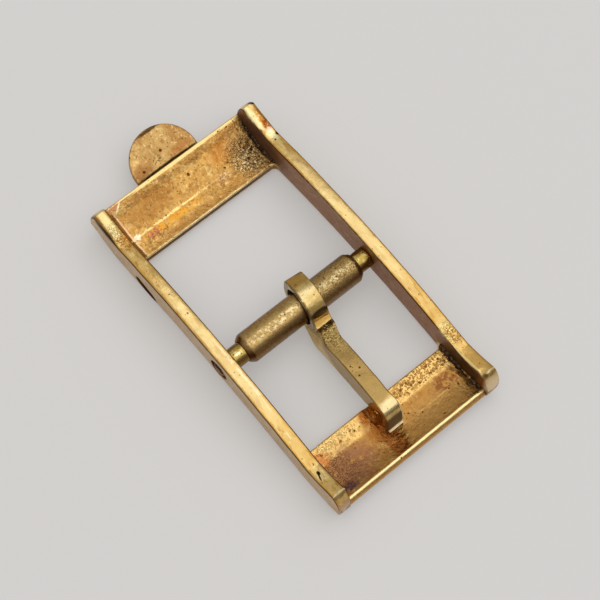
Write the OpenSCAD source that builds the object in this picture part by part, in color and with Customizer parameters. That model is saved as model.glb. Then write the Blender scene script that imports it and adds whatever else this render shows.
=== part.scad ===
// Watch buckle for a 10 mm strap: a soldered frame, a sprung strap bar and a tongue that pivots on it.
// X runs across the buckle, Y along it towards the round tab, Z up towards the back of the buckle.

/* [Frame] */
// Clear width between the two side rails, which takes the strap
strap_w = 10; // [8:0.5:20]
// Thickness of each side rail
rail_t = 0.85; // [0.6:0.01:1.2]
// Half length of the frame, from its middle to either end
frame_half = 11.12; // [9:0.02:14]
// Height by which the front of the frame arches up at its middle
front_rise = 0.6; // [0.3:0.05:0.9]
// Length of the curl from the flat land under each plate to the end of the frame
curl_len = 2.22; // [2:0.02:2.6]
// Width of the flat land, worn where the frame curls up
land_w = 0.6; // [0.3:0.05:0.9]
// Radius of the front's curl on either side of the lands, except under the upper plate
curl_r = 5; // [4:0.1:8]
// Slope of the flat front under the upper plate, in degrees
upper_slope = 25; // [18:1:28]

/* [Rail backs] */
// Height of a rail at its highest place
crown_h = 2.97; // [2.7:0.01:3.4]
// Distance of the highest place from the middle, towards the tab
crown_shift = 1; // [0:0.1:2]
// Radius of the long back curve of a rail
crown_r = 48; // [40:1:80]
// Distance from the end of a rail to the waist where it turns up
waist_in = 2.72; // [2.2:0.02:3.2]
// Distance from the end of a rail to the highest place of that end
horn_in = 0.57; // [0.4:0.01:0.9]
// Height of the rail ends beside the tab
horn_upper_h = 2.87; // [2.6:0.01:3.2]
// Height of the rail ends beside the tip of the tongue
horn_lower_h = 2.7; // [2.5:0.01:3.2]
// Height at which the end of a rail starts to lean inwards
lean_h = 1.35; // [1:0.05:1.8]
// Length over which the long back curve rounds into each waist
waist_round = 0.4; // [0.2:0.05:0.6]

/* [Plates] */
// Thickness of both end plates
plate_t = 0.55; // [0.4:0.01:0.7]
// Length of the upper plate, from its window edge to the end of the frame
upper_len = 3.62; // [3.2:0.02:4.2]
// Length of the lower plate, from its window edge to the end of the frame
lower_len = 3.87; // [3.2:0.02:4.4]
// Radius of the crease along the back of the upper plate, where it bends up
crease_r = 0.25; // [0.25:0.05:0.8]
// Radius of the window corners
window_corner_r = 0.35; // [0.2:0.05:0.6]
// Width of the raised lip along the outer edge of each plate
lip_w = 0.35; // [0.2:0.05:0.6]
// Height of that lip above the plate
lip_h = 0.18; // [0.08:0.01:0.3]
// Width of the dip that the tongue has worn in the lower window edge
worn_w = 0.9; // [0.4:0.05:1.2]
// Depth of that dip
worn_depth = 0.14; // [0.05:0.01:0.25]
// Place of that dip across the buckle
worn_x = -0.5; // [-2:0.02:2]
// Size of the solder seam in each corner between plate and rail
seam_w = 0.2; // [0.1:0.02:0.3]

/* [Round tab] */
// Diameter of the tab
tab_d = 4.4; // [3:0.1:6]
// Thickness of the tab
tab_t = 0.32; // [0.25:0.01:0.5]
// Distance from the end of the frame to the tab's middle, along the tab
tab_reach = 0.45; // [0.1:0.05:0.8]
// Thickness of the solder between plate and tab
tab_solder_t = 0.06; // [0.04:0.01:0.1]
// Distance by which the solder stays inside the tab's edge
tab_solder_inset = 0.15; // [0.05:0.05:0.4]

/* [Strap bar] */
// Distance of the bar's axis from the middle, towards the tongue's tip
bar_back = 0.7; // [0:0.05:2]
// Height of the bar's axis above the lands
bar_h = 1.68; // [1.5:0.01:1.8]
// Outer diameter of the tube
tube_d = 1.88; // [1.7:0.01:1.95]
// Wall of the tube
tube_wall = 0.16; // [0.12:0.01:0.2]
// Inward travel of each plunger
plunger_travel = 0.8; // [0.8:0.01:0.9]
// Length of shoulder that still stands out of the tube after that travel
shoulder_left = 0.08; // [0.05:0.01:0.2]
// Length of the bevel at each end of the tube
tube_bevel = 0.3; // [0.1:0.05:0.4]
// Length of the crimped mouth that keeps each plunger in
crimp_len = 0.3; // [0.2:0.05:0.5]
// Diameter of the plunger's shoulder
shoulder_d = 1.28; // [1.1:0.01:1.3]
// Diameter of the plunger's pivot, which sits in the rail
pivot_d = 0.9; // [0.7:0.01:0.95]
// Length of the plunger's head inside the tube
head_len = 0.5; // [0.3:0.05:0.8]
// Diameter of the countersink around each bar hole
mouth_d = 1.38; // [1.2:0.02:1.5]
// Depth of that countersink
mouth_depth = 0.22; // [0.1:0.02:0.3]
// Wire of the spring inside the tube
wire_d = 0.2; // [0.14:0.02:0.22]
// Number of turns of that spring
spring_turns = 8; // [6:1:9]

/* [Rail recess] */
// Distance of the recess in the left rail from the end beside the tab
recess_in = 5.17; // [4.8:0.01:6]
// Height of the middle of the recess
recess_h = 0.9; // [0.8:0.05:1.6]
// Length of the recess
recess_len = 1.9; // [1.2:0.1:2.4]
// Height of the recess
recess_w = 0.7; // [0.4:0.05:0.9]
// Depth of the recess
recess_depth = 0.5; // [0.2:0.05:0.6]

/* [Tongue] */
// Width of the loop around the bar
loop_w = 1.15; // [0.9:0.05:1.4]
// Thickness of the loop
loop_t = 0.38; // [0.3:0.01:0.45]
// Height above the bar's axis of the loop's squared corner, behind the bar
loop_corner = 0.94; // [0.6:0.02:1.1]
// Place of the loop across the buckle
loop_x = 0.52; // [-1:0.02:1]
// Place of the tip across the buckle
tip_x = -0.12; // [-0.6:0.02:0.6]
// Place of the shank across the buckle, past its sideways step
shank_x = 0.08; // [-0.8:0.02:0.8]
// Length of that sideways step behind the loop
step_len = 1.6; // [1.2:0.1:2]
// Width of the shank
shank_w = 1.08; // [0.8:0.02:1.3]
// Length of the lapped end of the strip behind the loop
lap_len = 0.62; // [0.5:0.02:0.8]
// Height of that lap above the bar's axis
lap_h = 0.45; // [0.35:0.01:0.55]
// Step down from the lap to the shank
lap_step = 0.33; // [0.2:0.01:0.4]
// Distance from the end of the frame to the tip of the tongue
tip_in = 1.77; // [1.5:0.01:2]
// Height of the shank's back above the lands, just before the tip
shank_h = 2.68; // [2.5:0.01:2.8]
// Depth of the shank just before the tip
shank_depth = 1.18; // [0.8:0.02:1.3]
// How far the curve of the shank's underside is drawn down below that depth, near the loop
shank_sag = 0.9; // [0.3:0.1:1]
// Length over which the shank's back turns down to the tip
tip_bend = 0.9; // [0.7:0.05:1.2]
// Length of the foot that rests on the lower plate
tip_foot = 0.55; // [0.4:0.05:0.7]

/* [Clearances] */
// Radial clearance of the pivots in the rails
pivot_clear = 0.05; // [0.02:0.01:0.08]
// Radial clearance of the shoulders in the crimped mouths
mouth_clear = 0.03; // [0.02:0.01:0.05]
// Radial clearance of the heads in the tube
head_clear = 0.03; // [0.02:0.01:0.05]
// Gap where one turned piece stops against another
stop_gap = 0.02; // [0.01:0.01:0.04]
// Radial clearance of the loop around the tube
loop_clear = 0.21; // [0.15:0.01:0.3]
// Gap between the foot of the tongue and the plate
foot_gap = 0.04; // [0.02:0.01:0.1]

/* [Hidden] */
$fn = 48;

// Steps along the curves
CURL_STEPS = 8;
BEND_STEPS = 3;
ARCH_STEPS = 20;
NECK_STEPS = 2;
CURVE_STEPS = 6;
CORNER_STEPS = 4;
SPRING_RINGS = 8;
SPRING_SIDES = 6;
// How far a cutting tool runs past the face that it cuts
PAST = 1;
// Angle from upright at which the underside of the shank leaves the loop
LEAVE_ANGLE = 20;

inner_x = strap_w / 2;
land_end = frame_half - curl_len;
land_start = land_end - land_w;
waist_y = frame_half - waist_in;
horn_y = frame_half - horn_in;
upper_window_y = frame_half - upper_len;
lower_window_y = frame_half - lower_len;
recess_y = frame_half - recess_in;
tip_y = tip_in - frame_half;
arch_r = (land_start * land_start + front_rise * front_rise) / (2 * front_rise) - curl_r;
arch_turn = arch_r * land_start / (arch_r + curl_r);
bar_y = -bar_back;

tube_half = inner_x - plunger_travel - shoulder_left;
tube_r = tube_d / 2;
bore_r = tube_r - tube_wall;
head_r = bore_r - head_clear;
shoulder_r = shoulder_d / 2;
crimp_r = shoulder_r + mouth_clear;
head_out = tube_half - crimp_len - stop_gap;
spring_half = head_out - head_len - stop_gap;
spring_r = head_r - wire_d;

loop_in_r = tube_r + loop_clear;
loop_out_r = loop_in_r + loop_t;

// The bend on the front of the upper plate follows the crease on its back
bend_r = plate_t + crease_r;
bend_end = land_end + bend_r * sin(upper_slope);
// Directions along and under the tab, and the middle of its back, as [y, z]
tab_along = [cos(upper_slope), sin(upper_slope)];
tab_under = [sin(upper_slope), -cos(upper_slope)];
tab_middle = [frame_half, front_z(frame_half)] + tab_reach * tab_along + tab_solder_t * tab_under;
tab_far = tab_middle[0] + tab_d / 2 * cos(upper_slope) + tab_t * sin(upper_slope);
tab_low = tab_middle[1] - tab_d / 2 * sin(upper_slope) - tab_t * cos(upper_slope);

// The origin lies under the middle of the whole buckle, level with its lowest place
middle_y = (tab_far - frame_half) / 2;
lift = -tab_low;

function evenly(from, to, steps) = [for (i = [0 : steps]) from + (to - from) * i / steps];
function reversed(list) = [for (i = [len(list) - 1 : -1 : 0]) list[i]];
function after_first(list) = [for (i = [1 : len(list) - 1]) list[i]];
function curve(a, b, c, steps) =
    [for (t = evenly(0, 1, steps)) (1 - t) * (1 - t) * a + 2 * t * (1 - t) * b + t * t * c];

// Sine of the slope of the frame's front at a distance y from the middle
function front_sin(y) = let (d = abs(y), s = sign(y))
    d <= arch_turn ? -y / arch_r :
    d < land_start ? -s * (land_start - d) / curl_r :
    d <= land_end ? 0 :
    y < 0 ? -(d - land_end) / curl_r : min((y - land_end) / bend_r, sin(upper_slope));

// Height of the frame's front at y
function front_z(y) = let (d = abs(y), c = sqrt(1 - pow(front_sin(y), 2)))
    d <= arch_turn ? front_rise - arch_r * (1 - c) :
    y <= land_end ? curl_r * (1 - c) :
    bend_r * (1 - c) + max(0, y - bend_end) * tan(upper_slope);

// Point at height h over the front at y, square to the surface, as [y, z]
function over_front(y, h) = let (s = front_sin(y)) [y - h * s, front_z(y) + h * sqrt(1 - s * s)];

// Stops along a plate from its window edge to its outer end; side is 1 for the upper plate
function plate_stops(window_y, side, end) = concat(
    [window_y],
    [for (y = evenly(arch_turn, land_start, NECK_STEPS)) if (y > window_y) y],
    side < 0 ? evenly(land_end, end, CURL_STEPS) : concat(evenly(land_end, bend_end, BEND_STEPS), [end]));

// Height of the long back curve of a rail at y
function crown_z(y) = crown_h - crown_r + sqrt(crown_r * crown_r - pow(y - crown_shift, 2));

// Back of a rail from its waist to its end, on the side named by s, for an end of height h
function horn(s, h) = let (waist = [s * waist_y, crown_z(s * waist_y)], top = [s * horn_y, h])
    concat(
        curve(waist, [s * (waist_y + horn_y) / 2, waist[1] + (h - waist[1]) / 4], top, CURVE_STEPS),
        after_first(curve(top, [s * frame_half, h - (h - lean_h) / 3], [s * frame_half, lean_h],
            CURVE_STEPS)));

// Outline of a rail seen from the side
rail_outline = let (stops = concat(
        evenly(-frame_half, -land_end, CURL_STEPS),
        evenly(-land_start, -arch_turn, NECK_STEPS),
        [for (y = evenly(-arch_turn, arch_turn, ARCH_STEPS)) if (abs(y) < arch_turn) y],
        evenly(arch_turn, land_start, NECK_STEPS),
        evenly(land_end, bend_end, BEND_STEPS),
        [frame_half]))
    concat(
        [for (y = stops) [y, front_z(y)]],
        reversed(horn(1, horn_upper_h)),
        [for (y = evenly(waist_y - waist_round, waist_round - waist_y, ARCH_STEPS)) [y, crown_z(y)]],
        horn(-1, horn_lower_h));

// Stop of a plate's outer end: the upper plate is cut off upright, the lower one square to its curl
function plate_end(side) = side < 0 ? frame_half : frame_half + (plate_t + lip_h) * sin(upper_slope);

// Outline of a plate seen from the side, with the raised lip at its outer end
function plate_outline(window_y, side) = let (
        end = plate_end(side),
        stops = concat([window_y - window_corner_r], plate_stops(window_y, side, end)),
        lip_start = end - lip_w,
        lip_top = plate_t + lip_h)
    concat(
        [for (y = stops) over_front(side * y, 0)],
        [over_front(side * end, lip_top - lip_h / 3), over_front(side * (end - lip_w / 5), lip_top)],
        [over_front(side * (lip_start + lip_w / 4), lip_top), over_front(side * lip_start, plate_t)],
        [for (y = reversed(stops)) if (y < lip_start) over_front(side * y, plate_t)]);

// Outline of a plate seen from above, with a round corner at each rail
function plate_plan(window_y, side) = let (
        r = window_corner_r,
        middle = window_y - r,
        corner_x = inner_x - r)
    [for (p = concat(
        [[-inner_x, frame_half], [-inner_x, middle]],
        [for (a = evenly(180, 90, CORNER_STEPS)) [r * cos(a) - corner_x, middle + r * sin(a)]],
        [for (a = evenly(90, 0, CORNER_STEPS)) [r * cos(a) + corner_x, middle + r * sin(a)]],
        [[inner_x, middle], [inner_x, frame_half]])) [p[0], side * p[1]]];

// Moves a piece from the middle of the frame to the part's origin
module placed() {
    translate([0, -middle_y, lift]) children();
}

// Draws a side outline, given as [y, z], as a slab from x = from to x = to
module slab(outline, from, to) {
    translate([from, 0, 0]) rotate([90, 0, 90]) linear_extrude(to - from) polygon(outline);
}

// Places a turned piece on the bar's axis, with its own axis along X
module on_bar() {
    translate([0, bar_y, bar_h]) rotate([0, 90, 0]) children();
}

// The rail on the +X side with its bar hole, countersunk from outside
module side_rail() {
    outer_x = inner_x + rail_t;
    hole_r = pivot_d / 2 + pivot_clear;
    flare = (mouth_d / 2 - hole_r) / mouth_depth * PAST;
    difference() {
        slab(rail_outline, inner_x, outer_x);
        on_bar() rotate_extrude() polygon([
            [0, inner_x - PAST], [hole_r, inner_x - PAST], [hole_r, outer_x - mouth_depth],
            [mouth_d / 2 + flare, outer_x + PAST], [0, outer_x + PAST]]);
    }
}

// The long recess in the outer face of the left rail
module rail_recess() {
    bottom_x = -inner_x - rail_t + recess_depth;
    straight = recess_len - recess_w;
    translate([bottom_x - recess_depth - PAST, recess_y, recess_h]) {
        for (s = [-1, 1]) {
            translate([0, s * straight / 2, 0]) rotate([0, 90, 0])
                cylinder(d = recess_w, h = recess_depth + PAST);
        }
        translate([0, -straight / 2, -recess_w / 2]) cube([recess_depth + PAST, straight, recess_w]);
    }
}

module side_rail_left() {
    color("goldenrod") placed() difference() {
        mirror([1, 0, 0]) side_rail();
        rail_recess();
    }
}

module side_rail_right() {
    color("goldenrod") placed() side_rail();
}

// An end plate between the rails
module end_plate(window_y, side) {
    intersection() {
        slab(plate_outline(window_y, side), -inner_x, inner_x);
        translate([0, 0, -PAST]) linear_extrude(crown_h + 2 * PAST) polygon(plate_plan(window_y, side));
    }
}

module upper_plate() {
    color("peru") placed() end_plate(upper_window_y, 1);
}

// The dip is a shallow groove along the plate, from the window edge to the land
module lower_plate() {
    worn_r = (worn_w * worn_w / 4 + worn_depth * worn_depth) / (2 * worn_depth);
    edge_z = front_z(lower_window_y) + plate_t;
    color("peru") placed() difference() {
        end_plate(lower_window_y, -1);
        translate([worn_x, PAST - lower_window_y, edge_z - worn_depth + worn_r]) rotate([90, 0, 0])
            cylinder(r = worn_r, h = land_start - lower_window_y + PAST);
    }
}

// One seam: a three-sided bead along the corner between a plate and the rail on the +X side
module seam(window_y, side) {
    end = plate_end(side);
    stops = plate_stops(window_y, side, end - lip_w);
    rings = [for (y = stops)
        let (low = over_front(side * y, plate_t), high = over_front(side * y, plate_t + seam_w))
        [[inner_x, side * low[0], low[1]], [inner_x, side * high[0], high[1]],
            [inner_x - seam_w, side * low[0], low[1]]]];
    last = len(stops) - 1;
    mirror([0, side < 0 ? 1 : 0, 0]) polyhedron(
        points = [for (ring = rings) each ring],
        faces = concat(
            [[2, 1, 0], [3 * last, 3 * last + 1, 3 * last + 2]],
            [for (i = [0 : last - 1], k = [0 : 2]) let (a = 3 * i + k, b = 3 * i + (k + 1) % 3)
                each [[a, b, a + 3], [b, b + 3, a + 3]]]));
}

module solder_seams() {
    color("saddlebrown") placed() {
        for (s = [0, 1]) {
            mirror([s, 0, 0]) seam(upper_window_y, 1);
            mirror([s, 0, 0]) seam(lower_window_y, -1);
        }
    }
}

// Places a piece against the back of the tab, with +Z square to it and Y along its slope
module on_tab() {
    translate([0, tab_middle[0], tab_middle[1]]) rotate([upper_slope, 0, 0]) children();
}

module round_tab() {
    color("gold") placed() on_tab() translate([0, 0, -tab_t]) cylinder(d = tab_d, h = tab_t);
}

// Thin solder between the plate's front and the part of the tab that lies under it
module tab_solder() {
    solder_r = tab_d / 2 - tab_solder_inset;
    color("saddlebrown") placed() on_tab() intersection() {
        cylinder(r = solder_r, h = tab_solder_t);
        translate([-solder_r, -tab_reach - 2 * solder_r, 0])
            cube([2 * solder_r, 2 * solder_r, tab_solder_t]);
    }
}

module bar_tube() {
    bevel_r = crimp_r + (tube_r - crimp_r) / 4;
    half = [[crimp_r, tube_half], [crimp_r, head_out + stop_gap], [bore_r, head_out + stop_gap]];
    outside = [[tube_r, tube_half - tube_bevel], [bevel_r, tube_half]];
    color("darkkhaki") placed() on_bar() rotate_extrude() polygon(concat(
        half,
        [for (p = reversed(half)) [p[0], -p[1]]],
        [for (p = reversed(outside)) [p[0], -p[1]]],
        outside));
}

// A plunger on the +X side: head in the tube, shoulder up to the rail, pivot in the rail
module plunger() {
    face = inner_x - stop_gap;
    end = inner_x + rail_t - stop_gap;
    chamfer = pivot_d / 8;
    on_bar() rotate_extrude() polygon([
        [0, head_out - head_len], [head_r, head_out - head_len], [head_r, head_out],
        [shoulder_r, head_out], [shoulder_r, face], [pivot_d / 2, face],
        [pivot_d / 2, end - chamfer], [pivot_d / 2 - chamfer, end], [0, end]]);
}

module bar_plunger_left() {
    color("khaki") placed() mirror([1, 0, 0]) plunger();
}

module bar_plunger_right() {
    color("khaki") placed() plunger();
}

// A coil from head to head, as one unbroken wire
module bar_spring() {
    count = spring_turns * SPRING_RINGS;
    run = spring_half - wire_d / 2;
    rings = [for (i = [0 : count]) let (turn = 360 * i / SPRING_RINGS, x = -run + 2 * run * i / count)
        [for (k = [0 : SPRING_SIDES - 1]) let (a = 360 * k / SPRING_SIDES,
                r = spring_r + wire_d / 2 * cos(a))
            [x + wire_d / 2 * sin(a), r * cos(turn), r * sin(turn)]]];
    side = [for (i = [0 : count - 1], k = [0 : SPRING_SIDES - 1])
        let (a = SPRING_SIDES * i + k, b = SPRING_SIDES * i + (k + 1) % SPRING_SIDES)
            each [[a, b, a + SPRING_SIDES], [b, b + SPRING_SIDES, a + SPRING_SIDES]]];
    first = [for (k = [SPRING_SIDES - 2 : -1 : 1]) [0, k + 1, k]];
    last = [for (k = [1 : SPRING_SIDES - 2]) SPRING_SIDES * count * [1, 1, 1] + [0, k, k + 1]];
    echo(least_gap_between_turns = 2 * run / spring_turns - wire_d);
    color("silver") placed() translate([0, bar_y, bar_h])
        polyhedron(points = [for (ring = rings) each ring], faces = concat(first, side, last));
}

// Side outline of the shank, from the loop to the foot of the tip; both ends lie inside the loop's metal
function shank_outline() = let (
        metal_r = loop_in_r + loop_t / 2,
        foot_z = front_z(tip_y) + plate_t + foot_gap,
        foot_round = tip_foot / 3,
        heel_y = tip_y + tip_foot,
        bend_y = tip_y + tip_bend,
        lap_end = [bar_y - loop_in_r - lap_len, bar_h + lap_h],
        step = lap_end - [lap_step / 3, lap_step],
        under = [bar_y - metal_r * sin(LEAVE_ANGLE), bar_h - metal_r * cos(LEAVE_ANGLE)],
        belly = [heel_y + tip_foot, shank_h - shank_depth])
    concat(
        [[bar_y - loop_in_r / 2, bar_h], [bar_y - loop_in_r, bar_h + lap_h], lap_end],
        curve(step, [step[0] - (step[0] - bend_y) / 4, shank_h - lap_step], [bend_y, shank_h],
            CURVE_STEPS),
        after_first(curve([bend_y, shank_h], [tip_y, shank_h], [tip_y, foot_z + foot_round],
            CURVE_STEPS)),
        [[tip_y + foot_round / 3, foot_z]],
        curve([heel_y, foot_z], [heel_y, belly[1]], belly, CORNER_STEPS),
        after_first(curve(belly, [under[0] + (belly[0] - under[0]) / 3, belly[1] - shank_sag], under,
            CURVE_STEPS)));

// Outline of the loop's squared corner: upright behind the bar, then over to the loop's top
function loop_back() = let (
        turn = 2 * atan2(loop_corner, loop_out_r),
        top = loop_out_r * [cos(turn), sin(turn)],
        corner = [loop_out_r, loop_corner],
        round = loop_t / 2,
        over = corner + round * (top - corner) / norm(top - corner),
        bend = curve(corner - [0, round], corner, over, CORNER_STEPS))
    [for (p = concat([[0, 0], [loop_out_r, 0]], bend, [top])) [bar_y, bar_h] + p];

// Outline of the tongue seen from above, where the shank steps sideways behind the loop
function tongue_plan() = let (
        back = bar_y + loop_out_r + PAST,
        neck = bar_y - loop_in_r,
        r = shank_w / 6,
        spine = [
            [loop_x, neck, loop_w],
            [(loop_x + shank_x) / 2, neck - step_len / 2, shank_w],
            [shank_x, neck - step_len, shank_w],
            [tip_x, tip_y + r, shank_w],
            [tip_x, tip_y - PAST, shank_w - 2 * r]])
    concat(
        [[loop_x - loop_w / 2, back]],
        [for (p = spine) [p[0] - p[2] / 2, p[1]]],
        [for (p = reversed(spine)) [p[0] + p[2] / 2, p[1]]],
        [[loop_x + loop_w / 2, back]]);

module tongue() {
    color("burlywood") placed() difference() {
        union() {
            translate([loop_x - loop_w / 2, bar_y, bar_h]) rotate([0, 90, 0])
                cylinder(r = loop_out_r, h = loop_w);
            slab(loop_back(), loop_x - loop_w / 2, loop_x + loop_w / 2);
            intersection() {
                slab(shank_outline(), -inner_x, inner_x);
                linear_extrude(crown_h + PAST) polygon(tongue_plan());
            }
        }
        on_bar() cylinder(r = loop_in_r, h = strap_w, center = true);
    }
}

side_rail_left();
side_rail_right();
upper_plate();
lower_plate();
solder_seams();
round_tab();
tab_solder();
bar_tube();
bar_plunger_left();
bar_plunger_right();
bar_spring();
tongue();
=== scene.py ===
import math
import bmesh
import bpy
from mathutils import Matrix, Vector, noise


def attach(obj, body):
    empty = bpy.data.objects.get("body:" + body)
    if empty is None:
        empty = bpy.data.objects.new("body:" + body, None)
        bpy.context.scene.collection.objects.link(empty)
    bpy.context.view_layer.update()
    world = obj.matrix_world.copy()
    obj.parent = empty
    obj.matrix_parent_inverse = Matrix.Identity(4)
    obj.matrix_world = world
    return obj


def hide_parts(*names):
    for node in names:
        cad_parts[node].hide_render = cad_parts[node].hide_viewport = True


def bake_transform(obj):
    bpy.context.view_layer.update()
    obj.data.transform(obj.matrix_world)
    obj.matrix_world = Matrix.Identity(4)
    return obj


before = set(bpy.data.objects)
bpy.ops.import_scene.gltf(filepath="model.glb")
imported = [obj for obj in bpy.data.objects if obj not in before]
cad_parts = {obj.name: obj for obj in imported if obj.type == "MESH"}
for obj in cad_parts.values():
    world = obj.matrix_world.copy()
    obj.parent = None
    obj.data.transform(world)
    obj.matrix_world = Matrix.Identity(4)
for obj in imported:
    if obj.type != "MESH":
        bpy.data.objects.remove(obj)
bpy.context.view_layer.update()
scene = bpy.context.scene
print("stage: frame loaded")

mm = 0.001

# Sizes that several pieces share, in mm, measured from the middle of the frame and from its flat lands
buckle = {
    "middleY": 1.28116, "lift": 0.131478,       # from there to the part's origin
    "strapWidth": 10.0, "railThick": 0.85, "halfLength": 11.12,
    "frontRise": 0.6, "curlLength": 2.22, "landWidth": 0.6, "curlRadius": 5.0, "upperSlope": 25.0,
    "crownHeight": 2.97, "crownShift": 1.0, "crownRadius": 48.0,
    "waistIn": 2.72, "hornIn": 0.57, "hornUpper": 2.87, "hornLower": 2.70, "leanHeight": 1.35,
    "plateThick": 0.55, "creaseRadius": 0.25,
    "barY": -0.7, "barHeight": 1.68,
}
innerX = buckle["strapWidth"] / 2
outerX = innerX + buckle["railThick"]
halfLength = buckle["halfLength"]
landEnd = halfLength - buckle["curlLength"]
landStart = landEnd - buckle["landWidth"]
slope = math.radians(buckle["upperSlope"])
barY, barHeight = buckle["barY"], buckle["barHeight"]


def place(x, y, z):        # mm on the buckle to metres in the part's frame
    return Vector((x, y - buckle["middleY"], z + buckle["lift"])) * mm


barAxis = place(0, barY, barHeight)


def evenly(a, b, steps):
    return [a + (b - a) * i / steps for i in range(steps + 1)]


def bend(a, b, c, steps):        # smooth curve from a to c, pulled towards b
    return [tuple((1 - t) ** 2 * p + 2 * t * (1 - t) * q + t * t * r for p, q, r in zip(a, b, c))
            for t in evenly(0, 1, steps)]


def smooth(a, b, value):
    t = min(max((value - a) / (b - a), 0), 1)
    return t * t * (3 - 2 * t)


def wobble(p, size, amount, seed=0):        # slow unevenness of hand-finished metal, in mm
    return noise.noise(Vector((p[0] / size + seed, p[1] / size, p[2] / size))) * amount


# The frame's front: an arch, two flat lands, a curl at the lower end and a straight slope at the upper end
archRadius = (landStart ** 2 + buckle["frontRise"] ** 2) / (2 * buckle["frontRise"]) - buckle["curlRadius"]
archTurn = archRadius * landStart / (archRadius + buckle["curlRadius"])
bendRadius = buckle["plateThick"] + buckle["creaseRadius"]
bendEnd = landEnd + bendRadius * math.sin(slope)


def frontSin(y):        # sine of the front's slope
    d, s = abs(y), math.copysign(1, y)
    if d <= archTurn:
        return -y / archRadius
    if d < landStart:
        return -s * (landStart - d) / buckle["curlRadius"]
    if d <= landEnd:
        return 0
    if y < 0:
        return -(d - landEnd) / buckle["curlRadius"]
    return min((y - landEnd) / bendRadius, math.sin(slope))


def frontZ(y):
    d, c = abs(y), math.sqrt(1 - frontSin(y) ** 2)
    if d <= archTurn:
        return buckle["frontRise"] - archRadius * (1 - c)
    if y <= landEnd:
        return buckle["curlRadius"] * (1 - c)
    return bendRadius * (1 - c) + max(0, y - bendEnd) * math.tan(slope)


def overFront(y, h):        # point at height h over the front, square to it
    s = frontSin(y)
    return (y - h * s, frontZ(y) + h * math.sqrt(1 - s * s))


def crownZ(y):        # the rails' arched back
    return buckle["crownHeight"] - buckle["crownRadius"] + math.sqrt(
        buckle["crownRadius"] ** 2 - (y - buckle["crownShift"]) ** 2)


def newPiece(name):
    piece = bpy.data.objects.new(name, bpy.data.meshes.new(name))
    scene.collection.objects.link(piece)
    return piece


def fasten(piece, body, slot, *nodes):        # its body, a finish name that is not used, and the CAD nodes it replaces
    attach(piece, body)
    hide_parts(*nodes)


def finishMesh(bm, piece, sharpAngle=40):
    bmesh.ops.remove_doubles(bm, verts=bm.verts, dist=1e-7)
    bmesh.ops.dissolve_degenerate(bm, edges=bm.edges, dist=1e-8)
    bmesh.ops.recalc_face_normals(bm, faces=bm.faces)
    for face in bm.faces:
        face.smooth = True
    for edge in bm.edges:
        if len(edge.link_faces) == 2:
            edge.smooth = edge.calc_face_angle() < math.radians(sharpAngle)
    bm.to_mesh(piece.data)
    bm.free()


def loft(piece, rings, marks=None, sharpAngle=40):
    # a closed skin over rings of points, given in mm; the marks are kept on the points as "lay"
    bm = bmesh.new()
    layer = bm.verts.layers.float_vector.new("lay") if marks else None
    rows = [[bm.verts.new(place(*p)) for p in ring] for ring in rings]
    for row, ringMarks in zip(rows, marks or []):
        for vert, mark in zip(row, ringMarks):
            vert[layer] = mark
    for a, b in zip(rows, rows[1:]):
        for i in range(len(a)):
            j = (i + 1) % len(a)
            bm.faces.new((a[i], a[j], b[j], b[i]))
    bm.faces.new(rows[0])
    bm.faces.new(reversed(rows[-1]))
    finishMesh(bm, piece, sharpAngle)


def sharpen(piece, sharpAngle=35):
    bm = bmesh.new()
    bm.from_mesh(piece.data)
    finishMesh(bm, piece, sharpAngle)


def evaluate(piece):        # turns live modifiers into a plain mesh
    graph = bpy.context.evaluated_depsgraph_get()
    graph.update()
    mesh = bpy.data.meshes.new_from_object(piece.evaluated_get(graph), depsgraph=graph)
    piece.modifiers.clear()
    old, piece.data = piece.data, mesh
    bpy.data.meshes.remove(old)
    mesh.name = piece.name


def combine(piece, other, operation):        # joins the other part on or cuts it out, and takes it away
    cut = piece.modifiers.new("combine", "BOOLEAN")
    cut.operation, cut.solver, cut.object = operation, "EXACT", other
    evaluate(piece)
    bpy.data.objects.remove(other)


def coat(piece, material):        # one material all over
    piece.data.materials.clear()
    piece.data.materials.append(material)


# Settings that many nodes share
times, timesPlus = {"operation": "MULTIPLY"}, {"operation": "MULTIPLY_ADD"}
smoothStep = {"interpolation_type": "SMOOTHSTEP"}


# Adds one node with its settings and fills its inputs with values or links; a node means its first output
def addNode(tree, kind, settings=None, inputs=None):
    node = tree.nodes.new(kind)
    for key, value in (settings or {}).items():
        setattr(node, key, value)
    for key, value in (inputs or {}).items():
        value = value.outputs[0] if isinstance(value, bpy.types.Node) else value
        if isinstance(value, bpy.types.NodeSocket):
            tree.links.new(value, node.inputs[key])
        else:
            node.inputs[key].default_value = value
    return node


def newTree(name, inputs, output):        # a Geometry Nodes tree with named inputs, and their sockets in it
    tree = bpy.data.node_groups.new(name, "GeometryNodeTree")
    for label, kind in inputs.items():
        tree.interface.new_socket(label, in_out="INPUT", socket_type="NodeSocket" + kind)
    tree.interface.new_socket(output, in_out="OUTPUT", socket_type="NodeSocketGeometry")
    return tree, addNode(tree, "NodeGroupInput").outputs


def applyTree(piece, tree, values):        # values by the names of the tree's inputs
    modifier = piece.modifiers.new(tree.name, "NODES")
    modifier.node_group = tree
    for socket in tree.interface.items_tree:
        if socket.name in values:
            modifier[socket.identifier] = values[socket.name]
    evaluate(piece)


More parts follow.
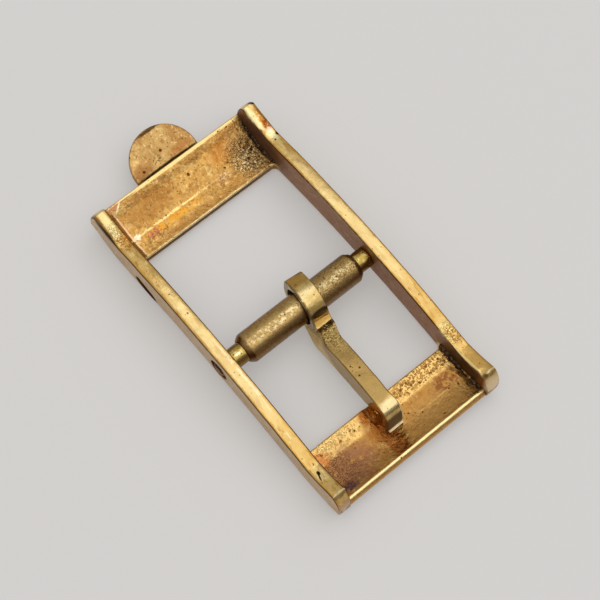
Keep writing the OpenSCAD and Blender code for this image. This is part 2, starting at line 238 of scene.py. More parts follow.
# Turns a profile of points (x, radius) about an axis along X into a closed shell
def turningTree():
    tree, start = newTree("turnedPiece", {
        "Profile": "Geometry", "Sides": "Int", "Axis": "Vector", "Finish": "Material"}, "Turned")
    points = addNode(tree, "GeometryNodeAttributeDomainSize", {"component": "MESH"}, {
        "Geometry": start["Profile"]})
    around = addNode(tree, "ShaderNodeMath", {"operation": "ADD"}, {0: start["Sides"], 1: 1.0})
    grid = addNode(tree, "GeometryNodeMeshGrid", None, {
        "Size X": 1.0, "Size Y": 1.0, "Vertices X": points.outputs["Point Count"], "Vertices Y": around})
    # each grid point's row is a point of the profile, and its place in the row is a turn about the axis
    index = addNode(tree, "GeometryNodeInputIndex")
    row = addNode(tree, "ShaderNodeMath", {"operation": "DIVIDE"}, {0: index, 1: around})
    rowDown = addNode(tree, "ShaderNodeMath", {"operation": "FLOOR"}, {0: row})
    part = addNode(tree, "ShaderNodeMath", {"operation": "FRACT"}, {0: row})
    widen = addNode(tree, "ShaderNodeMath", times, {0: part, 1: around})
    turn = addNode(tree, "ShaderNodeMath", {"operation": "DIVIDE"}, {0: widen, 1: start["Sides"]})
    angle = addNode(tree, "ShaderNodeMath", times, {0: turn, 1: 2 * math.pi})
    where = addNode(tree, "GeometryNodeInputPosition")
    sample = addNode(tree, "GeometryNodeSampleIndex", {"data_type": "FLOAT_VECTOR", "domain": "POINT"}, {
        "Geometry": start["Profile"], "Value": where, "Index": rowDown})
    split = addNode(tree, "ShaderNodeSeparateXYZ", None, {0: sample.outputs["Value"]}).outputs
    cosine = addNode(tree, "ShaderNodeMath", {"operation": "COSINE"}, {0: angle})
    sine = addNode(tree, "ShaderNodeMath", {"operation": "SINE"}, {0: angle})
    across = addNode(tree, "ShaderNodeMath", times, {0: split["Z"], 1: cosine})
    upward = addNode(tree, "ShaderNodeMath", times, {0: split["Z"], 1: sine})
    joined = addNode(tree, "ShaderNodeCombineXYZ", None, {0: split["X"], 1: across, 2: upward})
    moved = addNode(tree, "ShaderNodeVectorMath", {"operation": "ADD"}, {0: joined, 1: start["Axis"]})
    shaped = addNode(tree, "GeometryNodeSetPosition", None, {"Geometry": grid, "Position": moved})
    closed = addNode(tree, "GeometryNodeMergeByDistance", None, {"Geometry": shaped, "Distance": 1e-7})
    real = addNode(tree, "GeometryNodeRealizeInstances", None, {"Geometry": closed})
    coated = addNode(tree, "GeometryNodeSetMaterial", None, {"Geometry": real, "Material": start["Finish"]})
    addNode(tree, "NodeGroupOutput", None, {"Turned": coated})
    return tree


turning = turningTree()


def turnPiece(piece, profile, material, sides, axis=barAxis):        # profile in mm as (x, radius)
    piece.data.from_pydata([Vector((x, 0, r)) * mm for x, r in profile],
                           [(i, i + 1) for i in range(len(profile) - 1)], [])
    applyTree(piece, turning, {"Sides": sides, "Axis": tuple(axis), "Finish": material})
    sharpen(piece)


def roundCorners(corners, closed=False):        # corners as (x, radius, rounding) in mm
    out, count = [], len(corners)
    for i, (x, r, rounding) in enumerate(corners):
        if rounding == 0 or (not closed and i in (0, count - 1)):
            out.append((x, r))
            continue
        here = Vector((x, r))
        before, after = Vector(corners[i - 1][:2]), Vector(corners[(i + 1) % count][:2])
        a = here + (before - here).normalized() * rounding
        b = here + (after - here).normalized() * rounding
        out += bend(tuple(a), tuple(here), tuple(b), 5)
    return out + [out[0]] if closed else out


def hexColor(text):        # sRGB hex to linear
    parts = [int(text[i:i + 2], 16) / 255 for i in (1, 3, 5)]
    return tuple(c / 12.92 if c <= 0.04045 else ((c + 0.055) / 1.055) ** 2.4 for c in parts) + (1.0,)


# Materials: a base metal under layers of mottling, stripes, stained spots, painted light and shade, pits and
# grain.
# All sizes are mm on the object, a layer's seed moves its pattern, and dull is how much of the metal's shine
# the layer takes away.
def startMetal(name, look):
    material = bpy.data.materials.new(name)
    material.use_nodes = True
    tree = material.node_tree
    tree.nodes.clear()
    point = addNode(tree, "ShaderNodeTexCoord").outputs["Object"]
    raggedSize = 0.25        # mm, of the bays in the edges of placed marks and pits
    shake = addNode(tree, "ShaderNodeTexNoise", None, {
        "Vector": point, "Scale": 1 / (raggedSize * mm), "Detail": 3.0})
    drift = addNode(tree, "ShaderNodeVectorMath", {"operation": "SUBTRACT"}, {
        0: shake.outputs["Color"], 1: (0.5, 0.5, 0.5)})
    polish = addNode(tree, "ShaderNodeTexNoise", None, {
        "Vector": point, "Scale": 1 / (look["polishSize"] * mm), "Detail": 4.0})
    rough = addNode(tree, "ShaderNodeMapRange", smoothStep, {
        "Value": polish, "From Min": 0.3, "From Max": 0.7,
        "To Min": look["rough"][0], "To Max": look["rough"][1]})
    return {"material": material, "tree": tree, "point": point, "drift": drift, "rough": rough,
            "color": hexColor(look["base"]), "height": 0.0, "metallic": look.get("metallic", 1.0)}


def layOver(metal, mask, color=None, rough=0.0, height=0.0, dull=0.0):        # a finish, where the mask is 1
    tree = metal["tree"]
    if color:
        metal["color"] = addNode(tree, "ShaderNodeMix", {"data_type": "RGBA"}, {
            0: mask, 6: metal["color"], 7: hexColor(color)}).outputs[2]
    for key, change in (("rough", rough), ("height", height * mm), ("metallic", -dull)):
        if change:
            metal[key] = addNode(tree, "ShaderNodeMath", timesPlus, {
                0: mask, 1: change, 2: metal[key]})


def layMottle(metal, seed, color, size, low, high, amount, stretch=(1.0, 1.0, 1.0)):
    # clouds of a colour, from low to high on the cloud noise
    tree = metal["tree"]
    point = addNode(tree, "ShaderNodeMapping", None, {
        "Vector": metal["point"], "Location": (seed * 0.013, seed * 0.007, seed * 0.003), "Scale": stretch})
    cloud = addNode(tree, "ShaderNodeTexNoise", None, {
        "Vector": point, "Scale": 1 / (size * mm), "Detail": 5.0, "Roughness": 0.6})
    mask = addNode(tree, "ShaderNodeMapRange", smoothStep, {
        "Value": cloud, "From Min": low, "From Max": high, "To Max": amount})
    layOver(metal, mask, color)


def placeOn(metal, at, size, ragged, soft, turn=0.0, amount=1.0, square=False):
    # the amount inside an oval or a four-sided place on the object, fading out over its ragged edge
    tree = metal["tree"]
    point = addNode(tree, "ShaderNodeVectorMath", timesPlus, {
        0: metal["drift"], 1: (ragged * mm, ragged * mm, ragged * mm), 2: metal["point"]})
    local = addNode(tree, "ShaderNodeMapping", {"vector_type": "TEXTURE"}, {
        "Vector": point, "Location": place(*at), "Rotation": (0.0, 0.0, math.radians(turn)),
        "Scale": [s * mm for s in size]})
    if square:
        sides = addNode(tree, "ShaderNodeVectorMath", {"operation": "ABSOLUTE"}, {0: local})
        sides = addNode(tree, "ShaderNodeSeparateXYZ", None, {0: sides}).outputs
        distance = addNode(tree, "ShaderNodeMath", {"operation": "MAXIMUM"}, {0: sides["X"], 1: sides["Y"]})
        distance = addNode(tree, "ShaderNodeMath", {"operation": "MAXIMUM"}, {0: distance, 1: sides["Z"]})
    else:
        distance = addNode(tree, "ShaderNodeVectorMath", {"operation": "LENGTH"}, {0: local}).outputs["Value"]
    return addNode(tree, "ShaderNodeMapRange", smoothStep, {
        "Value": distance, "From Min": 1 + soft, "From Max": 1 - soft, "To Max": amount})


def stainAndLight(color, at, size, **finish):        # a row for a look's stained spots and painted light and shade: its middle, half sizes and finish
    return dict(finish, color=color, at=at, size=size)


def layStainAndLight(metal, seed, color, at, size, amount=1.0, ragged=0.2, soft=0.4, turn=0.0, square=False,
             specks=0.0, share=0.5, rough=0.0, height=0.0, dull=0.0):
    tree = metal["tree"]
    mask = placeOn(metal, at, size, ragged, soft, turn, amount, square)
    if specks:        # breaks the mark up into specks of this size, over this share of its place
        point = addNode(tree, "ShaderNodeMapping", None, {
            "Vector": metal["point"], "Location": (seed * 0.007, 0.0, seed * 0.003)})
        cloud = addNode(tree, "ShaderNodeTexNoise", None, {
            "Vector": point, "Scale": 1 / (specks * mm), "Detail": 3.0, "Distortion": 0.4})
        broken = addNode(tree, "ShaderNodeMapRange", smoothStep, {
            "Value": cloud, "From Min": 0.93 - share, "From Max": 1.05 - share})
        mask = addNode(tree, "ShaderNodeMath", times, {0: mask, 1: broken})
    layOver(metal, mask, color, rough, height, dull)


def layPits(metal, seed, color, spacing, radius, depth, share, at=None, size=None):
    # ragged little craters: their spacing, radius as a part of it, depth, and the share of places with one
    tree = metal["tree"]
    uneven = spacing * 0.9
    point = addNode(tree, "ShaderNodeVectorMath", timesPlus, {
        0: metal["drift"], 1: (uneven * mm, uneven * mm, uneven * mm), 2: metal["point"]})
    point = addNode(tree, "ShaderNodeMapping", None, {
        "Vector": point, "Location": (seed * 0.011, seed * 0.005, seed * 0.009)})
    cells = addNode(tree, "ShaderNodeTexVoronoi", None, {"Vector": point, "Scale": 1 / (spacing * mm)})
    near = addNode(tree, "ShaderNodeMapRange", smoothStep, {
        "Value": cells, "From Min": radius, "From Max": radius * 0.45, "To Max": 0.9})
    luck = addNode(tree, "ShaderNodeSeparateColor", None, {0: cells.outputs["Color"]})
    chosen = addNode(tree, "ShaderNodeMapRange", None, {
        "Value": luck, "From Min": 1 - share, "From Max": 1 - share * 0.7})
    mask = addNode(tree, "ShaderNodeMath", times, {0: near, 1: chosen})
    if at:        # only in this place
        patch = placeOn(metal, at, size, 0.3, 0.35)
        mask = addNode(tree, "ShaderNodeMath", times, {0: mask, 1: patch})
    layOver(metal, mask, color, 0.15, -depth)


def layGrain(metal, seed, size, depth, stretch=(1.0, 1.0, 1.0)):
    tree = metal["tree"]
    point = addNode(tree, "ShaderNodeMapping", None, {
        "Vector": metal["point"], "Location": (seed * 0.017, seed * 0.004, seed * 0.008), "Scale": stretch})
    grain = addNode(tree, "ShaderNodeTexNoise", None, {
        "Vector": point, "Scale": 1 / (size * mm), "Detail": 3.0})
    layOver(metal, grain, height=depth)


def layStripe(metal, seed, color, at, width, amount=1.0, core=0.3, wander=0.08, rough=0.0, dull=0.0):
    # a stripe along the piece, at a measure around its section that the mesh keeps as "lay"; it needs no seed
    tree = metal["tree"]
    lay = addNode(tree, "ShaderNodeAttribute", {"attribute_name": "lay"}).outputs["Vector"]
    measure = addNode(tree, "ShaderNodeSeparateXYZ", None, {0: lay}).outputs["Y"]
    sway = addNode(tree, "ShaderNodeTexNoise", None, {
        "Vector": metal["point"], "Scale": 1 / (0.5 * mm), "Detail": 3.0})
    moved = addNode(tree, "ShaderNodeMath", timesPlus, {0: sway, 1: wander, 2: measure})
    off = addNode(tree, "ShaderNodeMath", {"operation": "SUBTRACT"}, {0: moved, 1: at + wander / 2})
    off = addNode(tree, "ShaderNodeMath", {"operation": "ABSOLUTE"}, {0: off})
    mask = addNode(tree, "ShaderNodeMapRange", smoothStep, {
        "Value": off, "From Min": width, "From Max": width * core, "To Max": amount})
    layOver(metal, mask, color, rough, 0.0, dull)


# The kinds of layer, in the order in which they lie over each other, each with the seed of its first row
layerKinds = (("mottles", layMottle, 10), ("stripes", layStripe, 3), ("stainsAndLight", layStainAndLight, 3),
              ("pits", layPits, 7), ("pitPatches", layPits, 17), ("grain", layGrain, 8))


def makeMetal(name, look):
    metal = startMetal(name, look)
    for kind, lay, firstSeed in layerKinds:
        for i, row in enumerate(look.get(kind, ())):
            seed = firstSeed + 7 * i
            if isinstance(row, dict):
                lay(metal, seed, **row)
            else:
                lay(metal, seed, *row)
    tree = metal["tree"]
    rough = addNode(tree, "ShaderNodeClamp", None, {0: metal["rough"], "Min": 0.1, "Max": 0.85})
    bump = addNode(tree, "ShaderNodeBump", None, {"Distance": 1.0, "Height": metal["height"]})
    shader = addNode(tree, "ShaderNodeBsdfPrincipled", None, {
        "Base Color": metal["color"], "Metallic": metal["metallic"], "Roughness": rough,
        "Specular IOR Level": 0.12, "Normal": bump})        # the dirt on the metal hardly shines
    addNode(tree, "ShaderNodeOutputMaterial", None, {0: shader})
    return metal["material"]


# Side rails: bars with horns at both ends, a hole for the bar, and a blind slot in the left one
sideRail = {
    "stations": 150, "cornerSteps": 4, "sideCuts": (3, 14, 5, 14),        # cuts: front, outside, back, inside
    "backInner": 0.09, "backOuter": 0.09, "frontOuter": 0.28, "frontInner": 0.05,
    "waistGap": 0.3, "crown": 0.045, "hornCrown": 0.07, "hornCrownFrom": 8.6, "hornCrownTo": 9.8,
    "waveAcross": 0.014, "acrossSize": 1.3, "waveUp": 0.02, "upSize": 1.1,
    "wornLeft": 0.12, "wornRight": 0.38,
    "holeRadius": 0.5, "mouthRadius": 0.69, "mouthDepth": 0.22, "holeSides": 64,
    "recessIn": 5.13, "recessHeight": 0.92, "recessLength": 1.82, "recessWidth": 0.76, "recessDepth": 0.5,
    "recessTilt": 7.0,
}


def railGuides():        # matching points along the front and the back, as (y, z)
    waist, top = halfLength - buckle["waistIn"], halfLength - buckle["hornIn"]
    ends = {}
    for s, height in ((-1, buckle["hornLower"]), (1, buckle["hornUpper"])):
        start = (s * waist, crownZ(s * waist))
        rise = bend(start, (s * (waist + top) / 2, start[1] + (height - start[1]) / 4), (s * top, height), 16)
        fall = bend((s * top, height), (s * halfLength, height - (height - buckle["leanHeight"]) / 3),
                    (s * halfLength, buckle["leanHeight"]), 14)[1:]
        ys = [p[0] for p in rise]
        ys += [s * (top + (halfLength - top) * (i + 1) / len(fall)) for i in range(len(fall))]
        horn = list(zip(ys, rise + fall))
        ends[s] = [((y, frontZ(y)), b) for y, b in (horn if s > 0 else horn[::-1])]
    nearWaist = waist - sideRail["waistGap"]
    middle = [((y, frontZ(y)), (y, crownZ(y))) for y in evenly(-nearWaist, nearWaist, sideRail["stations"])]
    return ends[-1] + middle + ends[1]


def railSection(width, tall):        # rounded outline as (across, up), from the front's inner corner
    corners = [        # across, up, rounding and start angle
        (0, 0, sideRail["frontInner"], 180), (width, 0, min(sideRail["frontOuter"], tall * 0.4), 270),
        (width, tall, sideRail["backOuter"], 0), (0, tall, sideRail["backInner"], 90)]
    arcs = []
    for u, v, r, angle in corners:
        cu, cv = (r if u == 0 else u - r), (r if v == 0 else v - r)
        arcs.append([(cu + r * math.cos(math.radians(a)), cv + r * math.sin(math.radians(a)))
                     for a in evenly(angle, angle + 90, sideRail["cornerSteps"])])
    outline = []
    for k, cuts in enumerate(sideRail["sideCuts"]):
        (u0, v0), (u1, v1) = arcs[k][-1], arcs[(k + 1) % 4][0]
        outline += arcs[k] + [(u0 + (u1 - u0) * t, v0 + (v1 - v0) * t) for t in evenly(0, 1, cuts)[1:-1]]
    return outline


def railRing(front, back, side):
    width, tall = buckle["railThick"], math.dist(front, back)
    crown = sideRail["crown"] + sideRail["hornCrown"] * smooth(
        sideRail["hornCrownFrom"], sideRail["hornCrownTo"], front[0])
    crest = halfLength - buckle["hornIn"]
    worn = sideRail["wornRight"] if side > 0 else sideRail["wornLeft"]
    ring, marks = [], []
    for u, v in railSection(width, tall):
        t = v / tall
        y = front[0] + (back[0] - front[0]) * t
        z = front[1] + (back[1] - front[1]) * t + crown * (1 - (2 * u / width - 1) ** 2) * smooth(0.86, 1, t)
        x = innerX + u
        p = (side * x, y, z)
        x += wobble(p, sideRail["acrossSize"], sideRail["waveAcross"]) * smooth(0.02, 0.2, u)
        z += wobble(p, sideRail["upSize"], sideRail["waveUp"], 9)
        # the lower horns are worn off at their left corner
        leftward = 1 - u / width if side > 0 else u / width
        z -= worn * smooth(0.4, 1, leftward) * smooth(crest - 0.5, crest + 0.05, -y) * smooth(0.75, 1, t)
        ring.append((side * x, y, z))
        # from the outer back corner: above 0 down the outer face, below 0 over the back and down inside
        around = u - width + (tall - v if u > width / 2 else v - tall)
        marks.append(Vector((y, around, t)))
    return ring, marks


def cutHole(piece, side, material):        # the bar's hole, with its mouth flared outwards
    hole = newPiece("holeCutter")
    inside, outside = side * (innerX - 1), side * (outerX + 0.5)
    mouthStart = side * (outerX - sideRail["mouthDepth"])
    flare = (sideRail["mouthRadius"] - sideRail["holeRadius"]) / sideRail["mouthDepth"]
    profile = [(inside, 0), (inside, sideRail["holeRadius"]), (mouthStart, sideRail["holeRadius"]),
               (outside, sideRail["mouthRadius"] + flare * 0.5), (outside, 0)]
    turnPiece(hole, profile, material, sideRail["holeSides"])
    combine(piece, hole, "DIFFERENCE")


def cutRecess(piece):        # the blind slot, low on the outer face
    recess = newPiece("recessCutter")
    r, straight = sideRail["recessWidth"] / 2, (sideRail["recessLength"] - sideRail["recessWidth"]) / 2
    y0, z0 = halfLength - sideRail["recessIn"], sideRail["recessHeight"]
    outline = [(math.copysign(straight, math.cos(a)) + r * math.cos(a), r * math.sin(a))
               for a in evenly(0.01, 2 * math.pi + 0.01, 40)[:-1]]
    c, s = math.cos(math.radians(sideRail["recessTilt"])), math.sin(math.radians(sideRail["recessTilt"]))
    outline = [(y0 + a * c - b * s, z0 + a * s + b * c) for a, b in outline]
    loft(recess, [[(x, y, z) for y, z in outline] for x in (-outerX - 1, sideRail["recessDepth"] - outerX)])
    combine(piece, recess, "DIFFERENCE")


def makeRail(name, side, material):
    piece = newPiece(name + "_skin")
    rings, marks = zip(*[railRing(front, back, side) for front, back in railGuides()])
    loft(piece, rings, marks)
    cutHole(piece, side, material)
    if side < 0:
        cutRecess(piece)
    sharpen(piece, 50)
    coat(piece, material)
    fasten(piece, "frame", "gold_plate", name)


# Gold plating on polished brass: mirror-like but hand-worn, so it is pale yellow where it is rubbed and brown
# in between, pinkish on the outer face, brown inside, with thin painted highlight lines and painted shade
# lines along the back corners
goldPlate = {
    "base": "#d4b26c", "rough": (0.14, 0.3), "polishSize": 0.5,
    "mottles": [("#bc8c3c", 1.6, 0.44, 0.68, 0.6), ("#ecd898", 0.9, 0.5, 0.72, 0.5, (1.0, 0.5, 1.0)),
                ("#a87630", 0.22, 0.52, 0.66, 0.65, (1.0, 0.22, 1.0)),
                ("#f6e8b8", 0.12, 0.55, 0.7, 0.4, (1.0, 0.14, 1.0))],
    "stripes": [
        dict(color="#c6a272", at=1.3, width=1.28, core=0.9, amount=0.75, rough=0.12),
        dict(color="#8d5426", at=-2.05, width=1.25, core=0.85, amount=0.9, rough=0.12, dull=0.7),
        # painted highlight line on the back by the outer corner, then a painted shade line just under that
        # corner
        dict(color="#cf963a", at=-0.08, width=0.07, core=0.3, amount=0.7, wander=0.04),
        dict(color="#4a2a0c", at=0.045, width=0.08, core=0.7, amount=0.95, wander=0.03, rough=0.25,
             dull=0.85),
        # painted highlight line on the back by the inner corner, then a painted shade line on that corner
        dict(color="#c08a3a", at=-0.75, width=0.06, core=0.3, amount=0.6, wander=0.04),
        dict(color="#3f240c", at=-0.85, width=0.07, core=0.6, amount=0.95, wander=0.03, rough=0.2, dull=0.7),
    ],
    "pits": [("#7b5526", 0.36, 0.26, 0.01, 0.07), ("#8a6230", 0.15, 0.3, 0.006, 0.08)],
    "grain": [(0.5, 0.02), (0.14, 0.007, (1.0, 0.5, 1.0)), (0.04, 0.002, (1.0, 0.15, 1.0))],
}
leftRailStainsAndLight = [
    # painted shade in the bar's hole, round its mouth
    stainAndLight("#451d0a", (-(outerX - 0.16), barY, barHeight), (0.14, 0.8, 0.8),
          ragged=0.03, soft=0.06, square=True, amount=0.95, rough=0.4, dull=0.95),
    # painted shade inside the blind slot
    stainAndLight("#4e2a12", (-outerX, halfLength - 5.17, 0.9), (0.6, 1.0, 0.4),
          ragged=0.1, soft=0.15, amount=0.95, dull=0.9),
    # painted shade along the outer side of the upper horn's top
    stainAndLight("#7a5a2c", (-5.75, 9.9, 2.62), (0.1, 1.2, 0.45), ragged=0.06, soft=0.3, amount=0.7),
    # painted highlight on the upper horn's top
    stainAndLight("#f2e2a4", (-5.42, 9.75, 2.75), (0.24, 1.25, 0.5), ragged=0.12, soft=0.3, amount=0.6),
    # painted shade line along the horn's outer back corner
    stainAndLight("#3a1c08", (-5.86, 9.5, 2.5), (0.11, 1.1, 0.3), ragged=0.06, soft=0.3, amount=0.95, dull=0.8),
    # painted shade and reflection of the orange plate on the upper waist's slope, in specks
    stainAndLight("#b5701f", (-5.3, 8.35, 2.45), (0.42, 0.6, 0.4), ragged=0.4, specks=0.14, amount=0.85),
    stainAndLight(None, (-5.4, 9.1, 2.55), (0.4, 0.7, 0.4), ragged=0.4, specks=0.12, height=-0.025),
    stainAndLight("#2a1608", (-5.47, -8.87, 2.16), (0.08, 0.13, 0.2), ragged=0.12, height=-0.04),
    stainAndLight("#2a1608", (-5.56, -9.12, 2.16), (0.04, 0.27, 0.2), turn=-17.0, ragged=0.05, height=-0.03),
    # painted highlight along the top by the bar
    stainAndLight("#ecd8a0", (-5.42, -1.2, 2.9), (0.36, 6.2, 0.4), ragged=0.3, amount=0.4),
    stainAndLight("#f4e6be", (-5.25, -2.2, 2.92), (0.08, 2.6, 0.2), specks=0.5, share=0.6, amount=0.5),
    stainAndLight("#6a2a10", (-5.03, -1.05, 2.93), (0.07, 0.12, 0.14), ragged=0.08, height=0.02, dull=0.7),
    # painted highlight line across the lower horn's crest
    stainAndLight("#ffe9ae", (-5.42, -10.53, 2.7), (0.5, 0.08, 0.2), ragged=0.06, soft=0.3, amount=0.9),
    stainAndLight("#b9895a", (-5.42, -11.1, 1.8), (0.6, 0.25, 0.9), ragged=0.3, specks=0.3, share=0.6, amount=0.7),
]
rightRailStainsAndLight = [
    # painted shade in the bar's hole, round its mouth
    stainAndLight("#451d0a", ((outerX - 0.16), barY, barHeight), (0.14, 0.8, 0.8),
          ragged=0.03, soft=0.06, square=True, amount=0.95, rough=0.4, dull=0.95),
    # painted highlight on the upper horn's top
    stainAndLight("#f4e4ac", (5.22, 9.8, 2.75), (0.2, 1.1, 0.4), ragged=0.15, soft=0.3, amount=0.7),
    stainAndLight("#b5701f", (5.58, 9.7, 2.62), (0.22, 0.85, 0.3),
          ragged=0.3, specks=0.13, share=0.56, amount=0.85),
    stainAndLight("#8a3f14", (5.6, 9.1, 2.5), (0.2, 0.4, 0.3), ragged=0.3, specks=0.12, share=0.56, amount=0.9),
    # painted pink glint on the upper waist
    stainAndLight("#f3cdb6", (5.55, 8.74, 2.48), (0.17, 0.17, 0.2), specks=0.15, share=0.65, amount=0.8),
    stainAndLight("#f9ecb4", (5.45, 8.35, 2.45), (0.22, 0.4, 0.3), ragged=0.3, specks=0.2, share=0.6, amount=0.8),
    stainAndLight("#1c120c", (5.76, 8.31, 2.4), (0.1, 0.14, 0.15), ragged=0.12),
    stainAndLight("#5a3416", (5.41, 8.02, 2.47), (0.06, 0.07, 0.1), ragged=0.05),
    stainAndLight("#16100a", (5.76, 10.64, 2.7), (0.3, 0.2, 0.42), ragged=0.08, soft=0.2, dull=0.9),
    stainAndLight("#4a3026", (5.0, 9.1, 1.4), (0.14, 2.4, 1.3), ragged=0.35, amount=0.85, rough=0.2, dull=0.4),
    stainAndLight("#3c2212", (5.0, -9.3, 1.3), (0.14, 1.9, 1.1), ragged=0.35, amount=0.9, rough=0.2, dull=0.2),
    stainAndLight("#8a4a1c", (5.0, -10.55, 1.5), (0.14, 0.35, 0.8), amount=0.7),
    # painted glints on the lower waist, in specks
    stainAndLight("#ffe496", (5.35, -7.35, 2.42), (0.4, 0.75, 0.4),
          ragged=0.3, specks=0.14, share=0.6, amount=0.85),
    stainAndLight("#b8781f", (5.45, -7.6, 2.4), (0.35, 0.7, 0.4), ragged=0.4, specks=0.11, amount=0.8),
    stainAndLight(None, (5.42, -7.4, 2.4), (0.45, 0.8, 0.5), ragged=0.3, specks=0.11, height=-0.025),
    stainAndLight("#d8a858", (5.48, -9.4, 2.3), (0.32, 1.2, 0.5), ragged=0.15, soft=0.3, amount=0.65),
    # painted highlight line along the inner edge of the lower horn
    stainAndLight("#ffe49a", (5.08, -9.3, 2.34), (0.07, 1.6, 0.4), ragged=0.03, soft=0.3, amount=0.8),
    # painted highlight line across the lower horn's crest
    stainAndLight("#ffe9ae", (5.5, -10.53, 2.7), (0.42, 0.08, 0.2), ragged=0.06, soft=0.3, amount=0.9),
    stainAndLight("#7a4c20", (5.1, -10.62, 2.45), (0.2, 0.2, 0.3), ragged=0.1, soft=0.3, amount=0.75),
    # painted highlight along the top by the bar
    stainAndLight("#ecd8a0", (5.4, 1.6, 2.9), (0.36, 6.0, 0.4), ragged=0.4, amount=0.35),
    stainAndLight("#e8cfa4", (5.42, -11.0, 1.8), (0.6, 0.35, 0.8), amount=0.85, rough=0.15),
]
makeRail("side_rail_left", -1, makeMetal("goldPlatedBrassLeft", dict(goldPlate, stainsAndLight=leftRailStainsAndLight)))
makeRail("side_rail_right", 1, makeMetal("goldPlatedBrassRight", dict(goldPlate, stainsAndLight=rightRailStainsAndLight)))
print("stage: side rails")


# End plates: pressed sheet with a rim at the outer end; the lower one is worn hollow under the tongue's tip
endPlate = {"corner": 0.35, "columns": 150, "edge": 0.12, "slowWave": 0.016, "slowSize": 1.2,
            "quickWave": 0.006, "quickSize": 0.4}
upperPlate = {"side": 1, "length": 3.62, "rimWidth": 0.9, "rimHeight": 0.09, "rimTop": 0.2, "rimRound": 0.12,
              "wornX": 0.0, "wornWidth": 1.0, "wornDepth": 0.0}
lowerPlate = {"side": -1, "length": 3.87, "rimWidth": 0.3, "rimHeight": 0.0, "rimTop": 0.4, "rimRound": 0.15,
              "wornX": -0.5, "wornWidth": 0.9, "wornDepth": 0.14}


def plateRing(x, plate):        # section at x: along the front, over the rim and back over the inner side
    side, thick, edge, corner = plate["side"], buckle["plateThick"], endPlate["edge"], endPlate["corner"]
    windowY = halfLength - plate["length"]
    past = max(0, abs(x) - (innerX - corner))
    windowY -= corner - math.sqrt(max(corner ** 2 - past ** 2, 0)) if past else 0
    lean = math.sin(slope) if side > 0 else 0        # the upper plate is cut off upright
    worn = plate["wornDepth"] * max(0, 1 - ((x - plate["wornX"]) / (plate["wornWidth"] / 2)) ** 2)

    def point(y, h):
        py, pz = overFront(side * y, h)
        if h > thick * 0.7:
            pz -= worn * smooth(landStart + 0.3, landStart - 0.2, abs(py))
        return (x, py, pz)

    ring = [point(windowY + edge, 0.0)]
    ring += [point(y, 0.0) for y in evenly(windowY + edge, landStart, 10)[1:]]
    ring += [point(y, 0.0) for y in evenly(landStart, halfLength - edge, 40)[1:]]
    ring += [point(halfLength - edge * 0.3, edge * 0.3), point(halfLength + lean * edge, edge)]
    rim, turn = plate["rimWidth"], plate["rimRound"]
    lipTop = thick + plate["rimHeight"]
    ring += [point(halfLength + lean * h, h) for h in evenly(edge, lipTop - turn, 6)[1:]]
    # over the rolled rim and down to the plate
    for s in [turn * (1 - math.cos(a)) for a in evenly(0, math.pi / 2, 8)][1:-1] + evenly(turn, rim, 12)[:-1]:
        h = thick + plate["rimHeight"] * (1 - smooth(plate["rimTop"], 1, s / rim))
        h -= turn - math.sqrt(turn ** 2 - (turn - s) ** 2) if s < turn else 0
        ring.append(point(halfLength + lean * h - s, h))
    for y in evenly(halfLength + lean * thick - rim, windowY + edge, 60):
        p = (x, y * side, 0)
        h = thick + wobble(p, endPlate["slowSize"], endPlate["slowWave"], 4)
        h += wobble(p, endPlate["quickSize"], endPlate["quickWave"], 7)
        ring.append(point(y, h))
    # round the window's edge
    back = [(a, thick - edge) for a in evenly(90, 180, 4)[1:]]
    front = [(a, edge) for a in evenly(180, 270, 4)[:-1]]
    for a, h in back + front:
        c, s = math.cos(math.radians(a)), math.sin(math.radians(a))
        ring.append(point(windowY + edge + edge * c, h + edge * s))
    return ring


def makePlate(name, plate, material):
    piece = newPiece(name + "_skin")
    straight = innerX - endPlate["corner"]
    xs = evenly(-innerX, -straight, 8) + evenly(-straight, straight, endPlate["columns"])[1:-1]
    xs += evenly(straight, innerX, 8)
    loft(piece, [plateRing(x, plate) for x in xs], sharpAngle=60)
    coat(piece, material)
    fasten(piece, "frame", "patina_gold", name)


# Thin gilding on pressed brass, never polished again: warm brown and orange patina in blots, with rubbed
# light grains, a pitted and sooty end by the right rail, and a painted highlight along the rim
patina = {
    "base": "#c99a52", "rough": (0.16, 0.34), "polishSize": 0.4,
    "mottles": [("#9a6630", 1.4, 0.44, 0.64, 0.6), ("#e6c07c", 0.55, 0.52, 0.7, 0.6),
                ("#8c5824", 0.2, 0.5, 0.66, 0.6, (1.0, 0.5, 1.0)),
                ("#f2d698", 0.14, 0.54, 0.68, 0.5, (1.0, 0.6, 1.0)),
                ("#b8702e", 0.2, 0.58, 0.72, 0.45), ("#70431e", 0.1, 0.6, 0.72, 0.4)],
    "pits": [("#4a2c12", 0.3, 0.28, 0.015, 0.07), ("#6a4520", 0.12, 0.34, 0.008, 0.12)],
    "grain": [(0.4, 0.03), (0.16, 0.016), (0.05, 0.003)],
}
upperMottles = patina["mottles"] + [("#7c5a2a", 0.3, 0.52, 0.66, 0.5, (1.0, 0.6, 1.0))]
upperPits = [
    dict(color="#4a2c14", spacing=0.24, radius=0.5, depth=0.025, share=0.42,
         at=(4.3, 8.9, 0.8), size=(0.55, 0.9, 0.8)),
    dict(color="#7a5226", spacing=0.17, radius=0.42, depth=0.015, share=0.35,
         at=(3.8, 8.9, 0.8), size=(0.8, 1.1, 0.8)),
]
